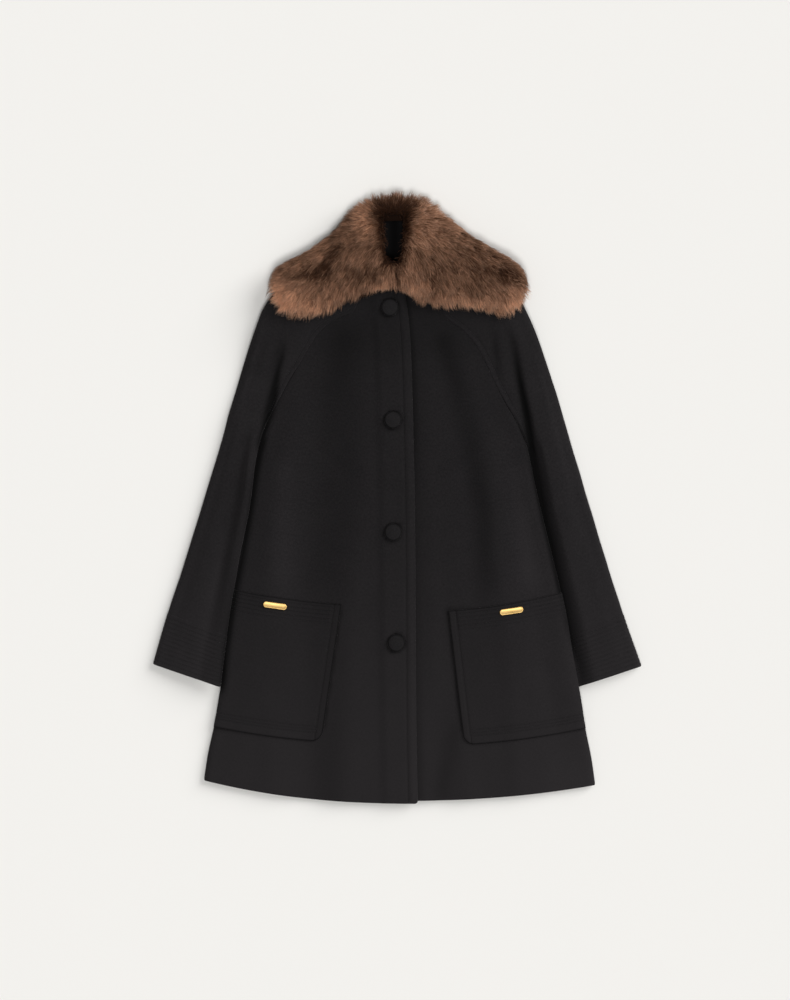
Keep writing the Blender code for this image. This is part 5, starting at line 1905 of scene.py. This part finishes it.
class COAT_OT_pelt(bpy.types.Operator):
    """Makes the collar's pelt, which the hair grows from"""

    bl_idname = "coat.pelt"
    bl_label = "Collar pelt"

    def execute(self, context):
        turns = np.arange(SKIN_SIDES) / SKIN_SIDES
        rings = [(share, False) for share in reversed(SKIN_UNDER_SHARES)] + [(1.0, True)]
        rings += [(share, True) for share in SKIN_TOP_SHARES]
        verts = [pelt_point(turns, np.full(SKIN_SIDES, share), over) for share, over in rings]
        poles = [pelt_point(np.zeros(1), np.zeros(1), over) for over in (False, True)]
        verts = np.concatenate(verts + poles)
        faces = ring_faces(len(rings), SKIN_SIDES)
        last = (len(rings) - 1) * SKIN_SIDES
        for k in range(SKIN_SIDES):
            after = (k + 1) % SKIN_SIDES
            faces += [(after, k, len(verts) - 2), (last + k, last + after, len(verts) - 1)]
        mesh = bpy.data.meshes.new("collar_pelt")
        mesh.from_pydata((verts * MM).tolist(), [], faces)
        piece = place_object("collar_pelt", mesh)
        make_active(piece)
        face_outward()
        cutters = [prism("coat_space", cavity_plan(), COLLAR_UNDER, SPACE_TOP),
                   prism("neck_opening", NECK_SLOT, COLLAR_UNDER + 1.0, SLOT_TOP)]
        for cutter in cutters:
            cut = piece.modifiers.new(cutter.name, "BOOLEAN")
            cut.operation = "DIFFERENCE"
            cut.solver = "EXACT"
            cut.object = cutter
            make_active(piece)
            bpy.ops.object.modifier_apply(modifier=cut.name)
            bpy.data.objects.remove(cutter, do_unlink=True)
        x, y, z = np.array([vertex.co for vertex in piece.data.vertices]).T / MM
        # Painted shade on the pelt by the neck's slot, and full painted shade on the floor and
        # ledge that show through it.
        shade = smooth(1.0 - line_distance(NECK_SLOT, x, y) / SLOT_SHADE[1]) + PELT_DARK
        shade = np.clip(darkness(x, y) + shade, 0.0, 1.0)
        shaded_in_opening = (np.abs(z - COLLAR_UNDER - SLOT_FLOOR) < 0.7) | (np.abs(z - SPACE_TOP) < 0.1)
        keep_values(piece.data, "dark_hair", np.where(shaded_in_opening, 1.0, shade))
        bpy.ops.object.shade_smooth_by_angle(angle=math.radians(PELT_SMOOTH))
        dress(piece, skin_finish, "fur", "collar")
        return {"FINISHED"}


@functools.cache
def coat_top():
    """Heights of the coat's upper side on an even grid in plan, for hair to lie on."""
    verts, faces, base = [], [], 0
    for panel in [front_panel("right"), front_panel("left"), back_panel()] + [
            sleeve_panel(side, half) for side in SIDES for half in ("front", "back")]:
        number = base + np.arange(panel.across.size).reshape(panel.across.shape)
        verts.append(panel.out.reshape(-1, 3))
        faces.append(grid_faces(number))
        base += panel.across.size
    tree = BVHTree.FromPolygons(np.concatenate(verts).tolist(), np.concatenate(faces).tolist())
    x, y = np.arange(-GRID_WIDE, GRID_WIDE + 1.0, 4.0), np.arange(200.0, 481.0, 4.0)
    heights = np.zeros((len(y), len(x)))
    down = Vector((0.0, 0.0, -1.0))
    for row, here_y in enumerate(y):
        for column, here_x in enumerate(x):
            hit = tree.ray_cast(Vector((here_x, here_y, ABOVE_ALL)), down)[0]
            heights[row, column] = hit.z if hit else 0.0
    return x, y, heights


@functools.cache
def collar_reach():
    """How far places on an even grid are past the collar's outline, or inside its opening."""
    x, y = np.arange(-GRID_WIDE, GRID_WIDE + 1.0, 2.0), np.arange(240.0, 501.0, 2.0)
    places = np.meshgrid(x, y)
    past = []
    for outline, sign in ((collar_edge().tolist(), -1.0), (NECK_SLOT, 1.0)):
        gap = line_distance(outline, *places)
        past.append(np.where(inside(outline, *places), sign * gap, -sign * gap))
    return x, y, np.maximum(*past)


def read_grid(grid, x, y):
    """A grid's values at places in plan."""
    grid_x, grid_y, values = grid
    step = grid_x[1] - grid_x[0]
    column = np.clip((x - grid_x[0]) / step, 0, len(grid_x) - 1.001)
    row = np.clip((y - grid_y[0]) / step, 0, len(grid_y) - 1.001)
    i, j = row.astype(int), column.astype(int)
    t, s = row - i, column - j
    low = mix(values[i, j], values[i, j + 1], s)
    high = mix(values[i + 1, j], values[i + 1, j + 1], s)
    return mix(low, high, t)


def darkness(x, y):
    """How dark the hair is at places in plan, from 0 to 1."""
    dark = np.full_like(x, REST_FUR)
    for row in PATCHES:
        patch = named(PATCH_COLUMNS, row)
        turn = math.radians(patch["turn"])
        dx, dy = x - patch["x"], y - patch["y"]
        along = (dx * math.cos(turn) + dy * math.sin(turn)) / patch["along"]
        across = (-dx * math.sin(turn) + dy * math.cos(turn)) / patch["across"]
        dark += patch["strength"] * np.exp(-(along ** 2 + across ** 2))
    return dark


def hair_flow(x, y):
    """The direction that hair lies in, in plan, from the guides near each place."""
    flow = np.zeros(x.shape + (2,))
    for row in FLOW:
        guide = named(FLOW_COLUMNS, row)
        way = math.radians(guide["way"])
        near = 1.0 / (np.hypot(x - guide["x"], y - guide["y"]) + FLOW_BLEND) ** 3
        flow += near[..., None] * np.array((math.cos(way), math.sin(way)))
    return flow / np.maximum(np.linalg.norm(flow, axis=-1, keepdims=True), 1e-12)


def hair_roots(count, random):
    """Roots, normals and whether each grows on the pelt's upper side."""
    points, normals, tops = [], [], []
    for over, part, innermost, rings in ROOTS:
        wanted = int(count * part)
        turns = np.arange(ROOT_TURNS) / ROOT_TURNS
        grid = pelt_point(*np.meshgrid(turns, np.linspace(innermost, 1.0, rings)), over)
        after = np.roll(grid, -1, axis=1)
        cross = np.cross(after[:-1] - grid[:-1], grid[1:] - grid[:-1])
        weight = np.linalg.norm(cross, axis=-1)
        normal = unit(cross) * (1.0 if (cross[..., 2].sum() > 0) == over else -1.0)
        chosen = random.choice(weight.size, wanted * 2, p=(weight / weight.sum()).ravel())
        row, column = np.unravel_index(chosen, weight.shape)
        t, s = random.random((2, len(chosen), 1))
        a, b = grid[row, column], after[row, column]
        c, d = grid[row + 1, column], after[row + 1, column]
        point = mix(mix(a, b, s), mix(c, d, s), t)
        x, y, z = point.T
        cut = inside(NECK_SLOT, x, y) & (z > COLLAR_UNDER)
        cut |= inside(cavity_plan(), x, y) & (z > COLLAR_UNDER - 0.5) & (z < CAVITY_TOP)
        keep = np.flatnonzero(~cut)[:wanted]
        points.append(point[keep])
        normals.append(normal[row, column][keep])
        tops.append(np.full(len(keep), over))
    return np.concatenate(points), np.concatenate(normals), np.concatenate(tops)


def hair_strands(count, coat):
    """Paths of a coat's hairs, drawn together in tufts, with what their finish needs."""
    random = np.random.default_rng(coat["seed"])
    lay = coat["lay"]
    root, normal, top = hair_roots(count, random)
    count = len(root)
    x, y = root[:, 0], root[:, 1]
    flow = hair_flow(x, y)
    clump = gathered(root, top, CLUMPS, random)[1]
    slot = line_distance(NECK_SLOT, x, y)
    angle = random.normal(0.0, HAIR_WAYS, count)
    angle = angle + random.normal(0.0, CLUMP_WAYS, CLUMPS)[clump]
    turned = smooth(1.0 - slot / SLOT_TURNED)
    angle += random.uniform(-SLOT_WAYS, SLOT_WAYS, count) * turned * (y > SLOT_Y[0])
    turn_x = flow[:, 0] * np.cos(angle) - flow[:, 1] * np.sin(angle)
    turn_y = flow[:, 0] * np.sin(angle) + flow[:, 1] * np.cos(angle)
    flow = np.stack((turn_x, turn_y, np.zeros(count)), axis=1)
    near_slot = smooth(1.0 - slot / SLOT_NEAR)
    high = smooth((y - TOP_SHORT[0]) / TOP_SHORT[1])
    middle, wide, soft = FRONT_WIDTH
    front = smooth((FRONT_SHORT[0] - y) / FRONT_SHORT[1])
    front = front * smooth((wide - np.abs(x - middle)) / soft)
    length = coat["share"] * in_mm("hair_length") * random.uniform(*HAIR_LENGTHS, count)
    length = length * random.uniform(*CLUMP_LENGTHS, CLUMPS)[clump]
    length = length * mix(1.0, SHORTENED, np.maximum(np.maximum(near_slot, high), front))
    raised = np.radians(mix(lay, lay + SLOT_RAISED, near_slot))
    raised = raised * random.uniform(*HAIR_SLOPES, count)
    raised = raised * random.uniform(*HAIR_SLOPES, CLUMPS)[clump]
    outward = normal * np.sin(raised)[:, None] + flow * np.cos(raised)[:, None]
    curl = random.uniform(-1.0, 1.0, (count, 1)) * length[:, None] * CURL
    side = unit(np.cross(outward, normal + 0.01))
    path = []
    for t in np.linspace(0.0, 1.0, coat["rings"] + 1):
        point = root + outward * (t * length[:, None])
        point = point - normal * (FALL * t * t * length[:, None])
        point = point + side * (curl * math.sin(math.pi * CURL_TURNS * t))
        point[:, 2] -= DROOP * t * t * length * (1.0 - np.clip(normal[:, 2], 0.0, 1.0))
        path.append(point)
    path = np.stack(path, axis=1)
    tuft = draw_tufts(path, top, coat["pull"], random)
    slope = smooth((y - SHOULDER_LOW[0]) / SHOULDER_LOW[1])
    slope = slope * smooth((SHOULDER_HIGH[0] - y) / SHOULDER_HIGH[1])
    slope = slope * smooth(np.abs(x) / SHOULDER_WIDE - 1.0)
    margin = mix(*TUFT_MARGIN, random.random(TUFTS)[tuft])
    margin = mix(margin, random.uniform(*HAIR_MARGIN, count), slope)
    margin = margin + random.uniform(-LOOSE_MARGIN, LOOSE_MARGIN, count) * (1.0 - slope)
    margin = mix(margin, random.uniform(-FRONT_MARGIN, FRONT_MARGIN, count), front)
    by_slot = random.uniform(0.0, SLOT_MARGIN[0], count) ** SLOT_MARGIN[1]
    keep_within(path, mix(margin, by_slot, near_slot))
    settle(path, top)
    dark = darkness(x, y) + random.normal(0.0, DARK_SPREAD, count)
    in_tufts = random.uniform(-TUFT_DARK, TUFT_DARK, TUFTS)[tuft]
    dark += in_tufts + random.uniform(-CLUMP_DARK, CLUMP_DARK, CLUMPS)[clump]
    # Painted shade on the hair by the neck's slot.
    slot_shade = SLOT_SHADE[0] * smooth(1.0 - slot / SLOT_SHADE[1]) * (y > SLOT_Y[1])
    dark = np.where(top, dark, DARK_UNDER) + slot_shade
    shade = TUFT_SHADE[0] * random.random(TUFTS)[tuft] ** TUFT_SHADE[1]
    shade = np.clip(shade + HAIR_SHADE[0] * random.random(count) ** HAIR_SHADE[1], 0.0, 1.0)
    pale, deep, at = PALE_SHADE
    shade = shade * mix(pale, deep, smooth(darkness(x, y) / at))
    return path, np.clip(dark, 0.0, 1.0), shade


def gathered(points, top, count, random):
    """Picks heads among the hairs, and finds the head nearest each hair's root."""
    heads = random.choice(len(points), count, replace=False)
    placed = points + np.where(top, 0.0, -60.0)[:, None] * (0.0, 0.0, 1.0)
    tree = KDTree(count)
    for index, head in enumerate(heads):
        tree.insert(Vector(placed[head]), index)
    tree.balance()
    return heads, np.array([tree.find(Vector(point))[1] for point in placed])


def draw_tufts(path, top, pull, random):
    """Draws the tips of neighbouring hairs together, more towards the tip."""
    heads, nearest = gathered(path[:, 0], top, TUFTS, random)
    leader = path[heads[nearest]]
    steps = path.shape[1] - 1
    strength = pull * random.uniform(LEAST_PULL, 1.0, len(path))
    for k in range(1, steps + 1):
        share = (k / steps) ** PULL_RISE * strength
        path[:, k] = mix(path[:, k], leader[:, k], share[:, None])
    return nearest


def keep_within(path, margin):
    """Shortens hairs that reach past the collar's outline by more than their margin."""
    for _ in range(TRIMS):
        past = read_grid(collar_reach(), path[:, -1, 0], path[:, -1, 1]) - margin
        reach = np.linalg.norm(path[:, -1, :2] - path[:, 0, :2], axis=1)
        part = np.clip(1.0 - np.maximum(past, 0.0) / np.maximum(reach, 1e-6), LEAST_TRIM, 1.0)
        path[:] = path[:, :1] + (path - path[:, :1]) * part[:, None, None]


def settle(path, top):
    """Keeps hair above what it lies on, and above the surface."""
    for k in range(path.shape[1]):
        x, y, z = path[:, k].T
        floor = np.where(top, read_grid(coat_top(), x, y) + OVER_COAT, OVER_SURFACE)
        floor = floor + FLOOR_STEP * k
        lifted = np.maximum(neck_lift(y) - UNDER_COAT, UNDER_LEAST)
        over_coat = np.where(top, z, np.minimum(z, lifted))
        path[:, k, 2] = np.maximum(over_coat, floor)


def hair_mesh(path, dark, shade, width):
    """Tapered closed hairs on the given paths."""
    count, points = path.shape[:2]
    ahead = unit(np.gradient(path, axis=1))
    side = unit(np.cross(ahead, np.broadcast_to([0.0, 0.0, 1.0], ahead.shape)) + 1e-6)
    up = unit(np.cross(side, ahead))
    share = np.linspace(0.0, 1.0, points)
    radius = width / 2 * np.array([HAIR_ROOT, *(1.0 - share[1:-1] ** HAIR_TAPER)])
    rings = []
    for k in range(points - 1):
        for turn in range(HAIR_SIDES):
            angle = math.pi / 2 + 2 * math.pi * turn / HAIR_SIDES
            rings.append(path[:, k] + (side[:, k] * math.cos(angle)
                                       + up[:, k] * math.sin(angle)) * radius[k])
    rings.append(path[:, -1])
    verts = np.stack(rings, axis=1)
    each = verts.shape[1]
    pattern = [tuple(range(HAIR_SIDES))]
    for k in range(points - 1):
        for turn in range(HAIR_SIDES):
            a, b = (HAIR_SIDES * k + place % HAIR_SIDES for place in (turn, turn + 1))
            if k == points - 2:
                pattern.append((b, a, each - 1))
            else:
                pattern += [(b, a, a + HAIR_SIDES), (b, a + HAIR_SIDES, b + HAIR_SIDES)]
    faces = (each * np.arange(count)[:, None, None] + np.array(pattern)[None]).reshape(-1, 3)
    mesh = bpy.data.meshes.new("fur")
    mesh.vertices.add(count * each)
    mesh.vertices.foreach_set("co", (verts.reshape(-1) * MM).astype(np.float32))
    mesh.loops.add(faces.size)
    mesh.loops.foreach_set("vertex_index", faces.ravel().astype(np.int32))
    mesh.polygons.add(len(faces))
    mesh.polygons.foreach_set("loop_start", (3 * np.arange(len(faces))).astype(np.int32))
    mesh.update(calc_edges=True)
    along = np.array([share[k] for k in range(points - 1) for _ in range(HAIR_SIDES)] + [1.0])
    for key, values in (("along_hair", along), ("dark_hair", dark[:, None]),
                        ("hair_shade", shade[:, None])):
        keep_values(mesh, key, np.broadcast_to(values, (count, each)))
    mesh.shade_smooth()
    return mesh


class COAT_OT_fur(bpy.types.Operator):
    """Makes the collar's hair in two coats"""

    bl_idname = "coat.fur"
    bl_label = "Collar fur"

    def execute(self, context):
        sizes = context.scene.coat_sizes
        part = 1.0
        for row in HAIR_COATS:
            coat = named(HAIR_COLUMNS, row)
            wanted = int(getattr(sizes, coat["name"] + "_hairs") * part)
            path, dark, shade = hair_strands(wanted, coat)
            right, left = path[:, 0, 0] < FUR_ZONES[0], path[:, 0, 0] > FUR_ZONES[1]
            for zone, chosen in (("right", right), ("left", left), ("neck", ~(right | left))):
                mesh = hair_mesh(path[chosen], dark[chosen], shade[chosen],
                                 coat["thick"] * in_mm("hair_width"))
                piece = place_object("fur_%s_%s" % (zone, coat["name"]), mesh)
                dress(piece, fur_finish, "fur", "collar")
        return {"FINISHED"}


# The photograph's frame: its pixels, millimetres to each, its middle on the surface, the lens
PICTURE = (790, 1000)
MM_PER_PIXEL = 1.5
PICTURE_MIDDLE = (-3.4, -1.9)
LENS = 200.0
SENSOR = 36.0
CLIP_END = 50.0

# The surface's size and height, and how far away the lights hang, in metres
SURFACE_SIZE = 14.0
SURFACE_Z = -0.0006
LIGHT_AWAY = 5.0

# Soft white light: a part from all round, one from above, one in low from the upper right
AMBIENT = 0.22
LIGHT_COLUMNS = ("name", "way", "spread", "power")
LIGHTS = (
    ("light_above", (0.02, -0.35, 1.0), 18.0, 1.5),
    ("light_aside", (0.82, 0.54, 0.62), 44.0, 2.15),
)


class COAT_OT_stage(bpy.types.Operator):
    """Makes the surface, the lights and the camera straight above"""

    bl_idname = "coat.stage"
    bl_label = "Stage"

    def execute(self, context):
        scene = context.scene
        deselect_all()
        bpy.ops.mesh.primitive_plane_add(size=SURFACE_SIZE, location=(0.0, 0.0, SURFACE_Z))
        surface = context.object
        surface.name = "surface"
        bpy.ops.object.transform_apply(location=True, rotation=True, scale=True)
        surface.data.materials.append(stage_finish())

        world = bpy.data.worlds.new("studio")
        scene.world = world
        world.use_nodes = True
        background = world.node_tree.nodes["Background"]
        background.inputs["Color"].default_value = (1.0, 1.0, 1.0, 1.0)
        background.inputs["Strength"].default_value = AMBIENT
        for row in LIGHTS:
            lamp = named(LIGHT_COLUMNS, row)
            way = Vector(lamp["way"])
            bpy.ops.object.light_add(type="SUN", location=LIGHT_AWAY * way)
            light = context.object
            light.name = lamp["name"]
            light.data.angle = math.radians(lamp["spread"])
            light.data.energy = lamp["power"]
            light.rotation_euler = way.to_track_quat("Z", "Y").to_euler()

        middle_x, middle_y = (value * MM for value in PICTURE_MIDDLE)
        long_side = max(PICTURE) * MM_PER_PIXEL * MM
        distance = long_side * LENS / SENSOR
        bpy.ops.object.camera_add(location=(middle_x, middle_y, distance),
                                  rotation=(0.0, 0.0, 0.0))
        camera = context.object
        camera.data.lens = LENS
        camera.data.sensor_width = SENSOR
        camera.data.clip_end = CLIP_END
        scene.camera = camera
        scene.view_settings.view_transform = "Standard"
        return {"FINISHED"}


class COAT_PT_panel(bpy.types.Panel):
    """The coat's sizes, colours and steps"""

    bl_idname = "COAT_PT_panel"
    bl_label = "Wool coat"
    bl_space_type = "VIEW_3D"
    bl_region_type = "UI"
    bl_category = "Coat"

    def draw(self, context):
        for group in (context.scene.coat_sizes, context.scene.coat_colours):
            box = self.layout.box()
            for key in group.__annotations__:
                box.prop(group, key)
        for operator in STEPS:
            self.layout.operator(operator.bl_idname)


STEPS = (COAT_OT_stage, COAT_OT_body, COAT_OT_sleeves, COAT_OT_pockets, COAT_OT_stitching,
         COAT_OT_buttons, COAT_OT_bars, COAT_OT_pelt, COAT_OT_fur)
CLASSES = (CoatSizes, CoatColours) + STEPS + (COAT_PT_panel,)


def register():
    """Makes the sizes, colours, steps and panel known."""
    for cls in CLASSES:
        bpy.utils.register_class(cls)
    bpy.types.Scene.coat_sizes = bpy.props.PointerProperty(type=CoatSizes)
    bpy.types.Scene.coat_colours = bpy.props.PointerProperty(type=CoatColours)


def unregister():
    """Takes them away again."""
    del bpy.types.Scene.coat_colours
    del bpy.types.Scene.coat_sizes
    for cls in reversed(CLASSES):
        bpy.utils.unregister_class(cls)


def main():
    """Builds the coat and its stage."""
    register()
    for step in STEPS:
        group, name = step.bl_idname.split(".")
        getattr(getattr(bpy.ops, group), name)()


if __name__ == "__main__":
    main()
